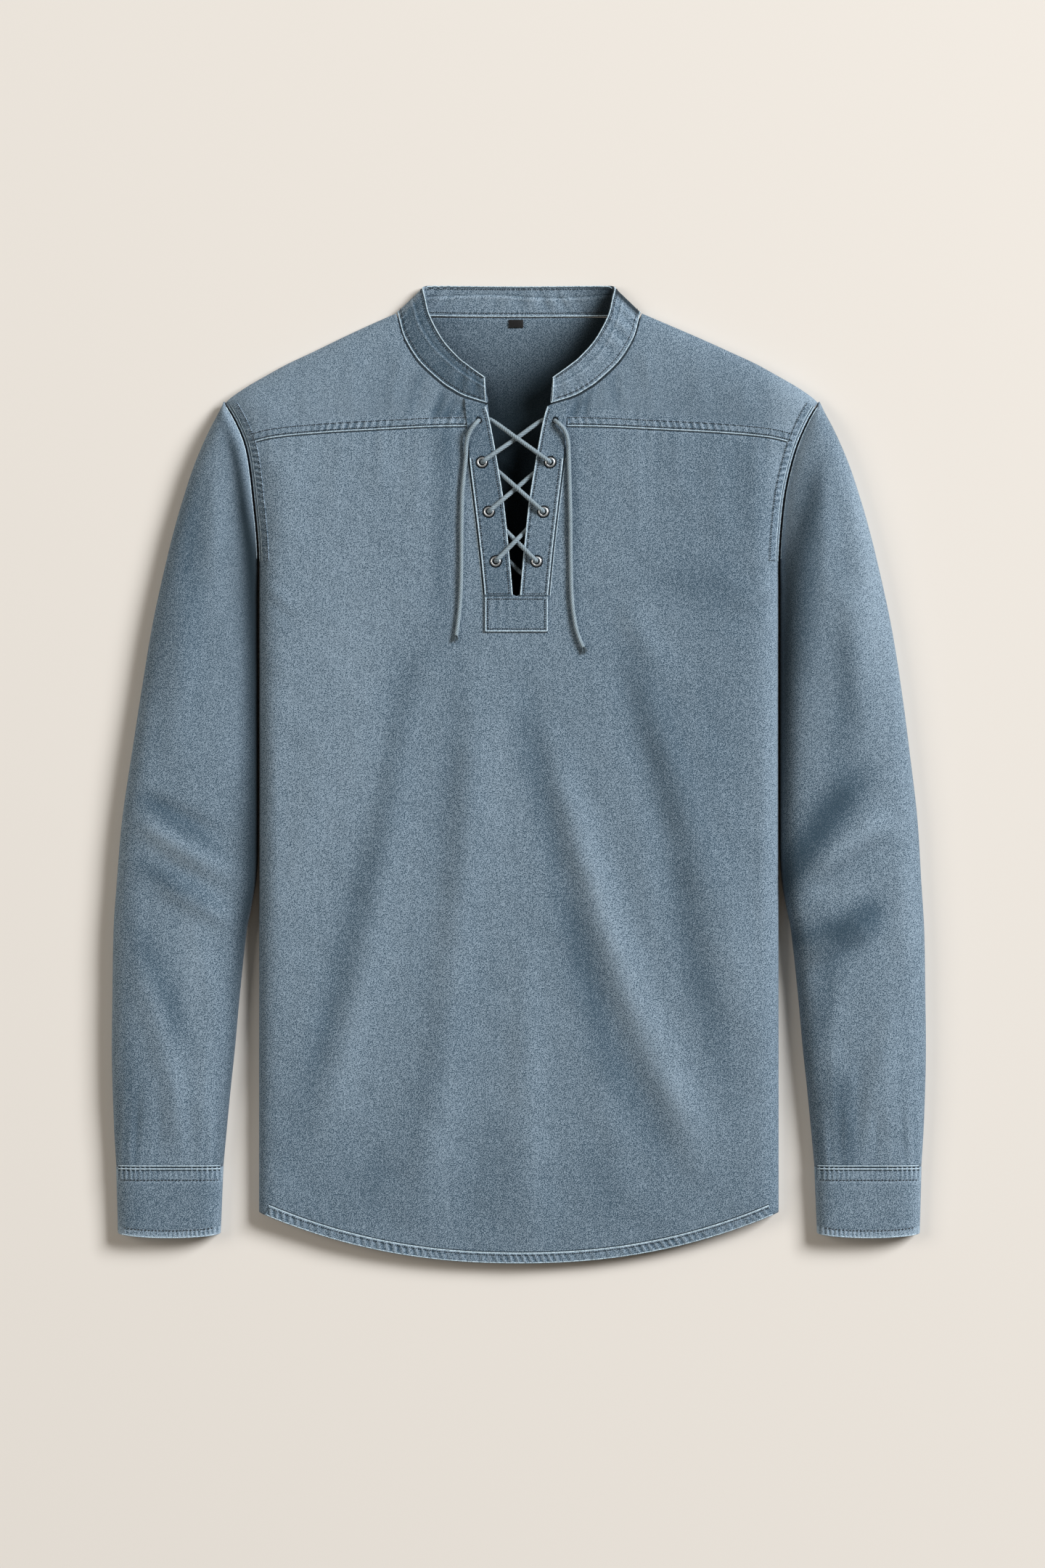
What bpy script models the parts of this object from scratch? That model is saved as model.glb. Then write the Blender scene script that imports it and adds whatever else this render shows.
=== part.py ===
"""Lace-up shirt in washed denim, laid out on its back.

Millimetres are used in all tables and sizes, and MM turns them into Blender's metres.
X runs across the shirt (wearer's left is +X), Y runs from hem to collar and Z is up.
The back panel lies on z = 0 and the front panel rests over it as a soft, hollow layer.
"""
import math

import bmesh
import bpy
from mathutils import Vector

MM = 0.001

# ---- driving dimensions, in millimetres ----
CLOTH = 1.2              # wall of one layer of denim, a little fuller than real for a solid
SEAM_GAP = 0.4           # room between two pieces that are sewn together
ARMHOLE_GAP = 0.8        # the same along the curved armhole seam
LAY_GAP = 0.3            # room under a piece that lies on another
CHEST_HALF = 208.0       # half the laid-out width under the arms
HEM_BOTTOM = -391.5      # lowest point of the shirt-tail hem
HEM_RISE = 41.0          # how much higher the hem is at the side seams
HEM_POWER = 2.2
BACK_HEM_SHORTER = 6.0
BACK_SIDE_INSET = 13.4   # side seam, in from the laid-out side
BACK_TIP = (229.6, 285.0)
BACK_NECK_CORNER = 92.0
NECK_BACK = 365.6        # back neckline
SIDE_REACH = 38.0        # how far in from the side the front panel is still rounding
SHOULDER_REACH = 34.0
ARMPIT = 166.0
SHOULDER_TIP = (238.0, 298.0)
YOKE_TIP = (236.8, 296.2)
YOKE_FOOT = 277.5        # height of the yoke seam beside the slit
YOKE_CORNER = (220.3, 262.6)   # where the yoke seam meets the armhole
ARMHOLE_TURN = 0.5       # the front's armhole edge turns down in four steps of this height
LEAN = 2.3               # the shoulders lie this much towards +X
SLEEVE_IN_REACH = 24.0
SLEEVE_OUT_REACH = 36.0
SLEEVE_END = -313.6
CUFF_END = -367.0
CUFF_CLOTH = 2.0
CUFF_INNER = (236.4, 238.6)    # inner edge of the cuff at its seam and at its end
CUFF_OUTER = (322.4, 321.0)
CUFF_CROWN = (20.6, 18.0)      # height at its seam and at its end
CUFF_EDGE = 7.5
CUFF_REACH = (24.0, 30.0)      # how far in from its inner and outer edge it is still rounding
CUFF_SWEEP = 4.0               # how much lower the middle of its end is
PLACKET_AXIS = -2.0      # the slit lies this far from the middle
PLACKET_CLOTH = 1.3
STRIP_WRAP = 0.6         # the strip's folded edge stands this far past the panel's edge
PLACKET_FOOT = 141.5     # lower end of the slit and strips
BASE_FOOT = 113.2        # lower edge of the square below the slit
BASE_HALF = 25.2
COLLAR_CLOTH = 2.0
LACE = 3.4
EYELET_ROWS = ((248.5, 27.2), (209.0, 21.8), (169.4, 16.3))   # height, half spacing
EYELET_BORE = 2.7
EYELET_HOLE = 3.5
LACE_HOLE = (282.0, 30.5)
LACE_HOLE_RADIUS = 2.6

# ---- outlines: (place, value) rows, read through a smooth curve ----
SIDE_EDGE = ((-400, 208.0), (150, 208.0), (180, 208.4), (214, 211.3), (240, 215.0),
             (263, 220.4), (283, 229.0), (298, 238.0))
SHOULDER_LINE = ((90, 371.8), (98.6, 368.4), (137, 351.6), (168, 337.3), (187, 328.6),
                 (203, 320.0), (219, 311.0), (232, 302.4), (238.6, 296.5))
YOKE_SEAM = ((18, 277.5), (65, 277.0), (107, 275.0), (160, 272.0), (200, 268.0), (221, 262.6))
SLIT_HALF = ((141.5, 2.7), (180, 6.1), (218, 10.2), (257, 16.6), (284, 21.8), (295.5, 25.4))
STRIP_HALF = ((141.5, 25.3), (175, 28.5), (217, 33.4), (250, 37.4), (275, 39.3), (300, 41.5))
CROWN = ((-392, 13.0), (-340, 16.5), (-200, 20.5), (0, 23.0), (150, 24.0), (250, 23.0),
         (300, 21.0), (340, 18.0), (372, 14.0))
EDGE_HEIGHT = ((-400, 6.5), (-340, 7.0), (150, 7.0), (180, 7.5), (214, 9.5), (240, 11.0),
               (270, 12.0), (298, 8.5), (372, 8.0))
SLEEVE_INNER = ((-314, 236.6), (-255, 231.0), (-220, 227.3), (-176, 223.3), (-124, 217.6),
                (-107, 214.2), (-85, 210.4), (-55, 208.8), (150, 208.8), (166, 208.8))
SLEEVE_OUTER = ((-314, 322.2), (-281, 324.2), (-228, 325.8), (-176, 325.4), (-124, 324.5),
                (-89, 322.2), (-37, 318.4), (15, 311.6), (67, 304.2), (119.5, 295.6),
                (171.7, 284.2), (206.5, 275.2), (241, 264.4), (259, 257.4), (276, 249.6),
                (290, 242.2), (298, 238.4))
SLEEVE_CROWN = ((-314, 20.0), (-250, 24.0), (-100, 26.0), (100, 26.0), (220, 25.0), (298, 22.0))
# neckline where yoke and collar meet, from the slit round to the shoulder
NECKLINE = ((25.0, 294.8), (43.3, 300.3), (63.0, 311.9), (80.2, 328.3), (91.8, 346.6),
            (98.4, 368.2))

# ---- largest folds ----
# a fan of soft ridges below the placket: x at its head, middle and foot, then the heights
# of head and foot, its half width and how far it stands up
FAN_FOLDS = (
    (-84, -116, -160, 90, -290, 17, 4.0),
    (-36, -49, -79, 90, -345, 17, 3.6),
    (5, 7, 12, -130, -385, 14, 2.6),
    (17, 71, 139, 55, -300, 17, 4.4),
    (80, 139, 172, 112, -200, 18, 3.4),
)
# sleeve folds: side, start x and y, end x and y, half width, height
SLEEVE_FOLDS = (
    (-1, 306, -20, 224, -58, 10, 4.5),
    (-1, 292, -54, 222, -88, 9, 3.5),
    (-1, 268, 160, 276, 10, 13, 3.0),
    (-1, 298, -150, 268, -290, 11, 2.5),
    (1, 294, -34, 220, -86, 12, 5.0),
    (1, 283, -112, 224, -152, 12, 4.0),
    (1, 262, 160, 276, 20, 13, 3.0),
    (1, 300, -180, 280, -290, 11, 2.5),
)


def clamp(value):
    """Keep a fraction between 0 and 1."""
    return max(0.0, min(1.0, value))


def ease(start, end, place):
    """Fraction that goes softly from 0 at start to 1 at end."""
    part = clamp((place - start) / (end - start))
    return part * part * (3.0 - 2.0 * part)


def mix(first, second, part):
    """Value the given part of the way from first to second."""
    return first + (second - first) * part


def table_slope(table, row):
    """Slope of a table at one of its rows."""
    before = table[max(row - 1, 0)]
    after = table[min(row + 1, len(table) - 1)]
    return (after[1] - before[1]) / (after[0] - before[0])


def along(table, place):
    """Read a table of (place, value) rows through a smooth curve."""
    if place <= table[0][0]:
        return table[0][1]
    if place >= table[-1][0]:
        return table[-1][1]
    row = 0
    while place > table[row + 1][0]:
        row += 1
    start, end = table[row], table[row + 1]
    span = end[0] - start[0]
    part = (place - start[0]) / span
    leave = table_slope(table, row) * span
    arrive = table_slope(table, row + 1) * span
    return ((2 * part ** 3 - 3 * part ** 2 + 1) * start[1] + (part ** 3 - 2 * part ** 2 + part) * leave
            + (3 * part ** 2 - 2 * part ** 3) * end[1] + (part ** 3 - part ** 2) * arrive)


def rounding(inside, reach):
    """How far the cloth has come up, at a distance inside an outline it rolls over."""
    part = clamp(inside / reach)
    return math.sqrt(max(0.0, 1.0 - (1.0 - part) ** 3))


def hem_line(x):
    """Height of the hem at a distance from the middle."""
    return HEM_BOTTOM + HEM_RISE * clamp(abs(x) / CHEST_HALF) ** HEM_POWER


def fan_folds(x, y):
    """Height that the fan of folds adds to the front panel."""
    total = 0.0
    for head, middle, foot, top, bottom, width, height in FAN_FOLDS:
        part = clamp((top - y) / (top - bottom))
        line = (1 - part) ** 2 * head + 2 * part * (1 - part) * (2 * middle - 0.5 * (head + foot)) \
            + part ** 2 * foot
        strength = ease(top + 20, top - 110, y) * ease(bottom - 40, bottom + 60, y)
        total += height * strength * math.exp(-((x - line) / (width * (0.7 + 0.5 * part))) ** 2)
    return total


def body_height(x, y):
    """Outer face of the front panel and yokes."""
    low = along(EDGE_HEIGHT, y)
    high = along(CROWN, y) + fan_folds(x, y)
    side = rounding(along(SIDE_EDGE, y) - abs(x), SIDE_REACH)
    shoulder = 1.0
    if y > 200:
        shoulder = rounding((along(SHOULDER_LINE, abs(x)) - y) * 0.9, SHOULDER_REACH)
    return low + (high - low) * side * shoulder


def sleeve_folds(side, x, y):
    """Height that the folds at the elbow and along the arm add to a sleeve."""
    total = 0.0
    for fold_side, x0, y0, x1, y1, width, height in SLEEVE_FOLDS:
        if fold_side != side:
            continue
        run = Vector((x1 - x0, y1 - y0))
        place = Vector((x - x0, y - y0))
        part = place.dot(run) / run.length_squared
        off = (place - run * clamp(part)).length
        total += height * ease(-0.1, 0.3, part) * ease(1.15, 0.7, part) * math.exp(-(off / width) ** 2)
    return total


def sleeve_inner(y):
    """Inner line of the sleeve: the armhole, then the edge beside the body."""
    if y > ARMPIT:
        return along(SIDE_EDGE, y) + ARMHOLE_GAP
    return along(SLEEVE_INNER, y)


def sleeve_height(side, x, y):
    """Outer face of a sleeve's upper side, x measured outwards."""
    inner, outer = sleeve_inner(y), along(SLEEVE_OUTER, y)
    tucked = mix(along(EDGE_HEIGHT, y), 3.6, ease(ARMPIT + 12, ARMPIT - 20, y))
    tucked = mix(tucked, 7.0, ease(-60, -110, y))
    low = mix(tucked, 8.0, clamp((x - inner) / max(outer - inner, 1.0)))
    high = along(SLEEVE_CROWN, y) + sleeve_folds(side, x, y)
    return low + (high - low) * rounding(x - inner, SLEEVE_IN_REACH) * rounding(outer - x, SLEEVE_OUT_REACH)


def lean(x, y):
    """Shift of shoulders and sleeves, as the shirt was laid down."""
    outward = max(ease(215, 275, y), ease(212, 235, abs(x))) * ease(100, 180, abs(x))
    return x + LEAN * outward * ease(-120, 100, y)


# ---- Blender helpers ----
def clear_scene():
    """Start from an empty scene."""
    for item in list(bpy.data.objects):
        bpy.data.objects.remove(item, do_unlink=True)


def collection(name):
    """A collection linked to the scene."""
    made = bpy.data.collections.new(name)
    bpy.context.scene.collection.children.link(made)
    return made


def finish(name, colour, roughness, metallic=0.0):
    """A plain Principled material."""
    made = bpy.data.materials.new(name)
    made.use_nodes = True
    shader = made.node_tree.nodes["Principled BSDF"]
    shader.inputs["Base Color"].default_value = (*colour, 1.0)
    shader.inputs["Roughness"].default_value = roughness
    shader.inputs["Metallic"].default_value = metallic
    return made


def add_object(name, data, material):
    """Put mesh or curve data in the shirt's collection."""
    item = bpy.data.objects.new(name, data)
    PARTS.objects.link(item)
    data.materials.append(material)
    return item


def lay_grid(grid, columns, rows, place, turned=False):
    """Add a grid of points to a bmesh, each put where place(column, row) says."""
    made = bmesh.ops.create_grid(grid, x_segments=columns - 1, y_segments=rows - 1, size=0.5)
    verts = made["verts"]
    for vert in verts:
        column = round((vert.co.x + 0.5) * (columns - 1))
        row = round((vert.co.y + 0.5) * (rows - 1))
        x, y, z = place(column, row)
        vert.co = Vector((lean(x, y), y, z)) * MM
    if turned:
        faces = list({face for vert in verts for face in vert.link_faces})
        bmesh.ops.reverse_faces(grid, faces=faces)


def cloth(name, grid, thickness, material, outward=False):
    """Turn a laid-out surface into a cloth wall."""
    bmesh.ops.remove_doubles(grid, verts=grid.verts, dist=0.00002)
    mesh = bpy.data.meshes.new(name)
    grid.to_mesh(mesh)
    grid.free()
    mesh.shade_smooth()
    item = add_object(name, mesh, material)
    wall = item.modifiers.new("wall", "SOLIDIFY")
    wall.thickness = thickness * MM
    wall.offset = 1.0 if outward else -1.0
    wall.use_even_offset = False
    return item


# ---- pieces ----
FRONT_ACROSS = (0.0, 0.11, 0.22, 0.33, 0.44, 0.55, 0.66, 0.76, 0.845, 0.91, 0.96, 0.99, 1.0)
# the roll under at the side: distance in from the side and height, then the same in the armhole
SIDE_UNDER = ((0.9, 3.5), (3.5, 0.9), (7.0, 0.0), (13.0, 0.0))
FRONT_UP = (0.0, 0.0112, 0.04, 0.085, 0.14, 0.2, 0.26, 0.32, 0.38, 0.44, 0.5, 0.56, 0.62, 0.68,
            0.74, 0.7975, 0.8, 0.84, 0.88, 0.92, 0.96, 1.0)
SLIT_ROW = 15


def front_place(side, column, row):
    """Point of the front panel, counted out from the slit and up from the hem."""
    t = FRONT_ACROSS[min(column, len(FRONT_ACROSS) - 1)]
    x = side * CHEST_HALF * t
    for _ in range(4):
        y = mix(hem_line(x), along(YOKE_SEAM, abs(x)) - SEAM_GAP, FRONT_UP[row])
        start = PLACKET_AXIS
        if row > SLIT_ROW:
            start += side * (along(SLIT_HALF, y) + STRIP_WRAP)
        x = mix(start, side * along(SIDE_EDGE, y), t)
    z = body_height(x, y)
    under = column - len(FRONT_ACROSS)
    if under >= 0:
        inset, height = SIDE_UNDER[under]
        below_arm = ease(ARMPIT + 19, ARMPIT - 16, y)
        inset = mix(ARMHOLE_TURN * 0.5 * (under + 1), inset, below_arm)
        z = mix(along(EDGE_HEIGHT, y) - ARMHOLE_TURN * (under + 1), height, below_arm)
        x = side * (along(SIDE_EDGE, y) - inset)
    return x, y, z


def make_front():
    """Front panel below the yokes, slit at the top and rolled under at its sides."""
    grid = bmesh.new()
    columns = len(FRONT_ACROSS) + len(SIDE_UNDER)
    for side in (1, -1):
        lay_grid(grid, columns, len(FRONT_UP), lambda c, r, s=side: front_place(s, c, r), side < 0)
    return cloth("front", grid, CLOTH, DENIM)


def back_outline():
    """Right half of the back panel's edge, from the middle of the hem round to the neckline."""
    points = []
    for step in range(13):
        x = (CHEST_HALF - BACK_SIDE_INSET) * step / 12
        points.append((x, hem_line(x) + BACK_HEM_SHORTER))
    for step in range(13):
        y = mix(60.0, BACK_TIP[1], step / 12)
        inset = mix(0.8, BACK_SIDE_INSET, ease(ARMPIT + 34, ARMPIT - 1, y))
        points.append((along(SIDE_EDGE, y) - inset, y))
    for step in range(1, 9):
        x = mix(BACK_TIP[0], BACK_NECK_CORNER, step / 8)
        points.append((x, along(SHOULDER_LINE, x + 5.6) - 12.4))
    points.append((BACK_NECK_CORNER - 3.0, NECK_BACK))
    return points


def make_back():
    """Back panel from hem to shoulders, flat on the surface."""
    half = back_outline()
    outline = half + [(-x, y) for x, y in reversed(half[1:])]
    data = bpy.data.curves.new("back", "CURVE")
    data.dimensions = "2D"
    data.fill_mode = "BOTH"
    data.extrude = CLOTH / 2 * MM
    spline = data.splines.new("POLY")
    spline.points.add(len(outline) - 1)
    spline.use_cyclic_u = True
    for point, (x, y) in zip(spline.points, outline):
        point.co = (lean(x, y) * MM, y * MM, 0.0, 1.0)
    item = add_object("back", data, DENIM)
    item.location.z = CLOTH / 2 * MM
    return item


YOKE_ACROSS = (0.0, 0.06, 0.13, 0.22, 0.33, 0.45, 0.57, 0.68, 0.78, 0.86, 0.925, 0.97, 1.0)
YOKE_UP = (0.0, 0.13, 0.26, 0.38, 0.5, 0.61, 0.71, 0.8, 0.87, 0.925, 0.965, 1.0)
SHOULDER_UNDER = ((0.9, 3.5), (3.5, 0.9), (7.0, 0.0), (12.0, 0.0))


def neckline(part):
    """Point on the neckline, from the slit (0) to the shoulder (1)."""
    place = part * (len(NECKLINE) - 1)
    xs = [(row, point[0]) for row, point in enumerate(NECKLINE)]
    ys = [(row, point[1]) for row, point in enumerate(NECKLINE)]
    return along(xs, place), along(ys, place)


def yoke_place(side, column, row):
    """Point of a yoke, counted out from the neck and up from the yoke seam."""
    u = YOKE_ACROSS[column]
    v = YOKE_UP[min(row, len(YOKE_UP) - 1)]
    slit_part = 0.18
    axis = side * PLACKET_AXIS
    foot_x = axis + along(SLIT_HALF, YOKE_FOOT) + STRIP_WRAP
    if v < slit_part:
        part = v / slit_part
        neck = (mix(foot_x, NECKLINE[0][0], part), mix(YOKE_FOOT, NECKLINE[0][1], part))
    else:
        neck = neckline((v - slit_part) / (1 - slit_part))
    arm_y = mix(YOKE_CORNER[1], YOKE_TIP[1], v)
    arm = (along(SIDE_EDGE, arm_y), arm_y)
    seam_x = mix(foot_x, YOKE_CORNER[0], u)
    seam = (seam_x, along(YOKE_SEAM, seam_x))
    top_x = mix(NECKLINE[-1][0], YOKE_TIP[0], u)
    top = (top_x, along(SHOULDER_LINE, top_x) - 1.3 * u * u)
    corners = [(foot_x, YOKE_FOOT), YOKE_CORNER, NECKLINE[-1], YOKE_TIP]
    point = []
    for way in (0, 1):
        between = mix(neck[way], arm[way], u) + mix(seam[way], top[way], v)
        flat = mix(mix(corners[0][way], corners[1][way], u), mix(corners[2][way], corners[3][way], u), v)
        point.append(between - flat)
    x, y = point
    z = body_height(side * x, y)
    under = row - len(YOKE_UP)
    if under >= 0:
        inset, height = SHOULDER_UNDER[under]
        x, y, z = x - inset * mix(0.45, 0.60, u * u), y - inset * mix(0.89, 0.80, u * u), height
    return side * x, y, z


def make_yoke(side, name):
    """Upper front of one side, from the yoke seam over the shoulder."""
    grid = bmesh.new()
    rows = len(YOKE_UP) + len(SHOULDER_UNDER)
    lay_grid(grid, len(YOKE_ACROSS), rows, lambda c, r: yoke_place(side, c, r), side < 0)
    return cloth(name, grid, CLOTH, DENIM)


SLEEVE_DOWN = (0.0, 0.012, 0.03, 0.055, 0.085, 0.12, 0.165, 0.215, 0.265, 0.315, 0.365, 0.415,
               0.46, 0.505, 0.55, 0.595, 0.64, 0.69, 0.745, 0.8, 0.86, 0.93, 1.0)
SLEEVE_OVER = (0.0, 0.035, 0.09, 0.17, 0.27, 0.39, 0.51, 0.63, 0.74, 0.84, 0.92, 0.97, 1.0)
# the underside: part of the width, inset in millimetres, height
SLEEVE_UNDER = ((1.0, -0.9, 4.0), (1.0, -3.6, 1.1), (1.0, -8.0, 0.0), (0.68, 0.0, 0.0),
                (0.45, 0.0, 0.0), (0.22, 0.0, 0.0), (0.0, 5.0, 0.0), (0.0, 1.2, 0.9))


def sleeve_place(side, column, row):
    """Point of a sleeve, counted round it from the inner edge and down from the armhole."""
    s = SLEEVE_DOWN[row]
    outer_y = mix(SHOULDER_TIP[1], SLEEVE_END, s)
    inner_y = outer_y - (SHOULDER_TIP[1] - ARMPIT) * (1 - ease(0.0, 0.75, s))
    count = len(SLEEVE_OVER)
    ring = column % (count + len(SLEEVE_UNDER))
    if ring < count:
        across, inset, height = SLEEVE_OVER[ring], 0.0, None
    else:
        across, inset, height = SLEEVE_UNDER[ring - count]
    inner = Vector((sleeve_inner(inner_y), inner_y))
    outer = Vector((along(SLEEVE_OUTER, outer_y), outer_y))
    chord = outer - inner
    across += inset / max(chord.length, 1.0)
    point = inner + chord * across
    armhole_y = mix(ARMPIT, SHOULDER_TIP[1], across)
    straight_x = mix(sleeve_inner(ARMPIT), sleeve_inner(SHOULDER_TIP[1]), across)
    point.x += (sleeve_inner(armhole_y) - straight_x) * (1.0 - ease(0.0, 0.3, s))
    if height is None:
        height = sleeve_height(side, point.x, point.y)
    return side * point.x, point.y, height


def make_sleeve(side, name):
    """Sleeve tube from the slanted armhole down to the cuff seam."""
    grid = bmesh.new()
    columns = len(SLEEVE_OVER) + len(SLEEVE_UNDER) + 1
    lay_grid(grid, columns, len(SLEEVE_DOWN), lambda c, r: sleeve_place(side, c, r), side > 0)
    return cloth(name, grid, CLOTH, DENIM)


CUFF_DOWN = (0.0, 0.13, 0.5, 0.87, 1.0)


def cuff_place(side, column, row):
    """Point of a cuff, counted round it and down from its seam."""
    v = CUFF_DOWN[row]
    count = len(SLEEVE_OVER)
    ring = column % (count + len(SLEEVE_UNDER))
    inner_x, outer_x = mix(*CUFF_INNER, v), mix(*CUFF_OUTER, v)
    if ring < count:
        across, inset, height = SLEEVE_OVER[ring], 0.0, None
    else:
        across, inset, height = SLEEVE_UNDER[ring - count]
    x = mix(inner_x, outer_x, across) + inset
    sweep = CUFF_SWEEP * math.sin(math.pi * clamp(across)) ** 0.5
    y = mix(SLEEVE_END - SEAM_GAP, CUFF_END - sweep, v)
    if height is None:
        up = rounding(x - inner_x, CUFF_REACH[0]) * rounding(outer_x - x, CUFF_REACH[1])
        height = mix(CUFF_EDGE, mix(*CUFF_CROWN, v), up)
    return side * x, y, height


def make_cuff(side, name):
    """Folded cuff band at the end of a sleeve."""
    grid = bmesh.new()
    columns = len(SLEEVE_OVER) + len(SLEEVE_UNDER) + 1
    lay_grid(grid, columns, len(CUFF_DOWN), lambda c, r: cuff_place(side, c, r), side > 0)
    return cloth(name, grid, CUFF_CLOTH, DENIM)


# collar stations from the front end round to the middle of the back:
# seam x and y, top edge x and y, height of seam and top (none: it follows the yoke)
COLLAR_STATIONS = (
    (25.4, 295.8, 27.0, 316.2, None, None),
    (43.3, 301.4, 37.0, 323.4, None, None),
    (53.4, 306.8, 42.5, 327.6, None, None),
    (62.7, 313.2, 48.5, 332.6, None, None),
    (79.9, 329.4, 60.8, 346.6, None, None),
    (91.2, 347.4, 71.2, 366.0, None, None),
    (95.4, 361.0, 75.0, 381.0, 14.0, 15.5),
    (96.8, 367.0, 76.4, 386.6, 9.5, 11.0),
    (97.4, 369.6, 76.4, 389.6, 5.0, 6.4),
    (95.0, 369.4, 73.6, 391.0, 1.4, 2.8),
    (87.0, 367.2, 64.0, 391.0, 0.2, 1.6),
    (60.0, 366.4, 42.0, 390.8, 0.2, 2.0),
    (30.0, 366.1, 20.0, 390.6, 0.2, 2.2),
    (0.0, 366.0, 0.0, 390.5, 0.2, 2.3),
)
COLLAR_UP = (0.0, 0.25, 0.5, 0.75, 1.0)


def collar_place(column, row):
    """Point of the collar band, counted from one front end round to the other."""
    last = len(COLLAR_STATIONS) - 1
    side = -1 if column <= last else 1
    station = COLLAR_STATIONS[column if column <= last else 2 * last - column]
    seam_x, seam_y, top_x, top_y, seam_z, top_z = station
    if seam_z is None:
        seam_z = body_height(side * seam_x, seam_y) + 0.4
        top_z = seam_z + 3.4
    v = COLLAR_UP[row]
    swell = 0.8 * math.sin(math.pi * v) if seam_z > 8 else 0.0
    return side * mix(seam_x, top_x, v), mix(seam_y, top_y, v), mix(seam_z, top_z, v) + swell


def make_collar():
    """Stand band round the neck, lying down with its front half over its back half."""
    grid = bmesh.new()
    columns = 2 * len(COLLAR_STATIONS) - 1
    lay_grid(grid, columns, len(COLLAR_UP), collar_place)
    return cloth("collar_band", grid, COLLAR_CLOTH, DENIM, outward=True)


STRIP_ACROSS = (0.0, 0.5, 1.0)
STRIP_UP = 13


def strip_place(side, column, row):
    """Point of a placket strip, just over the front panel and yoke."""
    part = STRIP_ACROSS[column]
    v = row / (STRIP_UP - 1)
    y = PLACKET_FOOT + SEAM_GAP
    for _ in range(4):
        x = PLACKET_AXIS + side * mix(along(SLIT_HALF, y), along(STRIP_HALF, y), part)
        y = mix(PLACKET_FOOT + SEAM_GAP, NECKLINE[0][1] + 0.3 * (abs(x) - NECKLINE[0][0]) - 0.6, v)
    return x, y, body_height(x, y) + LAY_GAP


def make_strip(side, name):
    """Folded strip beside the slit, with its lace holes."""
    grid = bmesh.new()
    lay_grid(grid, len(STRIP_ACROSS), STRIP_UP, lambda c, r: strip_place(side, c, r), side < 0)
    return cloth(name, grid, PLACKET_CLOTH, PLACKET, outward=True)


def base_place(column, row):
    """Point of the square of cloth below the slit."""
    x = PLACKET_AXIS + mix(-BASE_HALF, BASE_HALF, column / 4)
    y = mix(BASE_FOOT, PLACKET_FOOT, row / 2)
    return x, y, body_height(x, y) + LAY_GAP


def make_base():
    """Square of cloth that closes the foot of the placket."""
    grid = bmesh.new()
    lay_grid(grid, 5, 3, base_place)
    return cloth("placket_base", grid, PLACKET_CLOTH, PLACKET, outward=True)


LABEL_SIDES, LABEL_ENDS = (-8.1, 3.5), (357.4, 363.8)


def label_place(column, row):
    """Point of the small neck label on the inside of the back."""
    return mix(*LABEL_SIDES, column), mix(*LABEL_ENDS, row), CLOTH + LAY_GAP


def make_label():
    """Bare woven tab below the back of the collar."""
    grid = bmesh.new()
    lay_grid(grid, 2, 2, label_place)
    return cloth("size_label", grid, 0.6, LABEL, outward=True)


# eyelet section: radius and height over the strip, down the outside and back up the bore
EYELET_SECTION = ((3.0, 1.25), (4.1, 1.15), (4.65, 0.25), (3.15, 0.25), (3.15, -3.4),
                  (EYELET_BORE, -3.4), (EYELET_BORE, 0.9))


def eyelet_centre(side, row):
    """Middle of an eyelet, on the outer face of its strip."""
    y, half = EYELET_ROWS[row]
    x = PLACKET_AXIS - 0.2 + side * half
    return x, y, body_height(x, y) + LAY_GAP + PLACKET_CLOTH


def make_eyelet(side, row, name):
    """Turned metal eyelet through a placket strip."""
    mesh = bpy.data.meshes.new(name)
    points = [(radius * MM, 0.0, height * MM) for radius, height in EYELET_SECTION]
    edges = [(place, (place + 1) % len(points)) for place in range(len(points))]
    mesh.from_pydata(points, edges, [])
    item = add_object(name, mesh, METAL)
    turn = item.modifiers.new("turned", "SCREW")
    turn.axis = "Z"
    turn.steps = turn.render_steps = 12
    turn.use_merge_vertices = True
    turn.merge_threshold = 0.00001
    turn.use_smooth_shade = True
    item.location = Vector(eyelet_centre(side, row)) * MM
    return item


def lace_hole(side):
    """Middle of the plain hole that a lace end comes out of."""
    y, half = LACE_HOLE
    x = PLACKET_AXIS + 0.5 + side * half
    return x, y, body_height(x, y)


def cut_hole(pieces, centre, radius, name):
    """Cut a round hole through cloth pieces."""
    bpy.ops.mesh.primitive_cylinder_add(vertices=10, radius=radius * MM, depth=16 * MM,
                                        location=Vector(centre) * MM)
    cutter = bpy.context.object
    cutter.name = name
    for owner in cutter.users_collection:
        owner.objects.unlink(cutter)
    CUTTERS.objects.link(cutter)
    cutter.hide_render = True
    cutter.display_type = "WIRE"
    for piece in pieces:
        hole = piece.modifiers.new(name, "BOOLEAN")
        hole.operation = "DIFFERENCE"
        hole.object = cutter


# ---- lace ----
# how the lace leaves an eyelet: distance from its middle, height over the panel
LACE_RISE = ((0.3, -4.6), (0.55, -1.8), (0.6, 0.4), (0.65, 2.3), (1.0, 3.8), (2.4, 4.9), (4.4, 5.05),
             (7.0, 4.4))
# strands: eyelet side and row, where it dips behind the other strip, part of the way to its
# own strip's edge and to the crossing, height at the crossing
LACE_STRANDS = {
    "first": (1, 0, (-22.0, 282.4), 0.24, 0.567, 2.8),
    "second": (-1, 1, (9.3, 237.8), 0.353, 0.663, -1.8),
    "third": (1, 2, (-9.3, 193.1), 0.43, 0.70, -1.8),
    "fourth": (-1, 2, (3.5, 192.0), 0.47, 0.735, 2.8),
    "fifth": (1, 1, (-15.7, 240.7), 0.32, 0.608, 2.8),
    "sixth": (-1, 0, (18.0, 282.0), 0.24, 0.586, -1.8),
}
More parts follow.
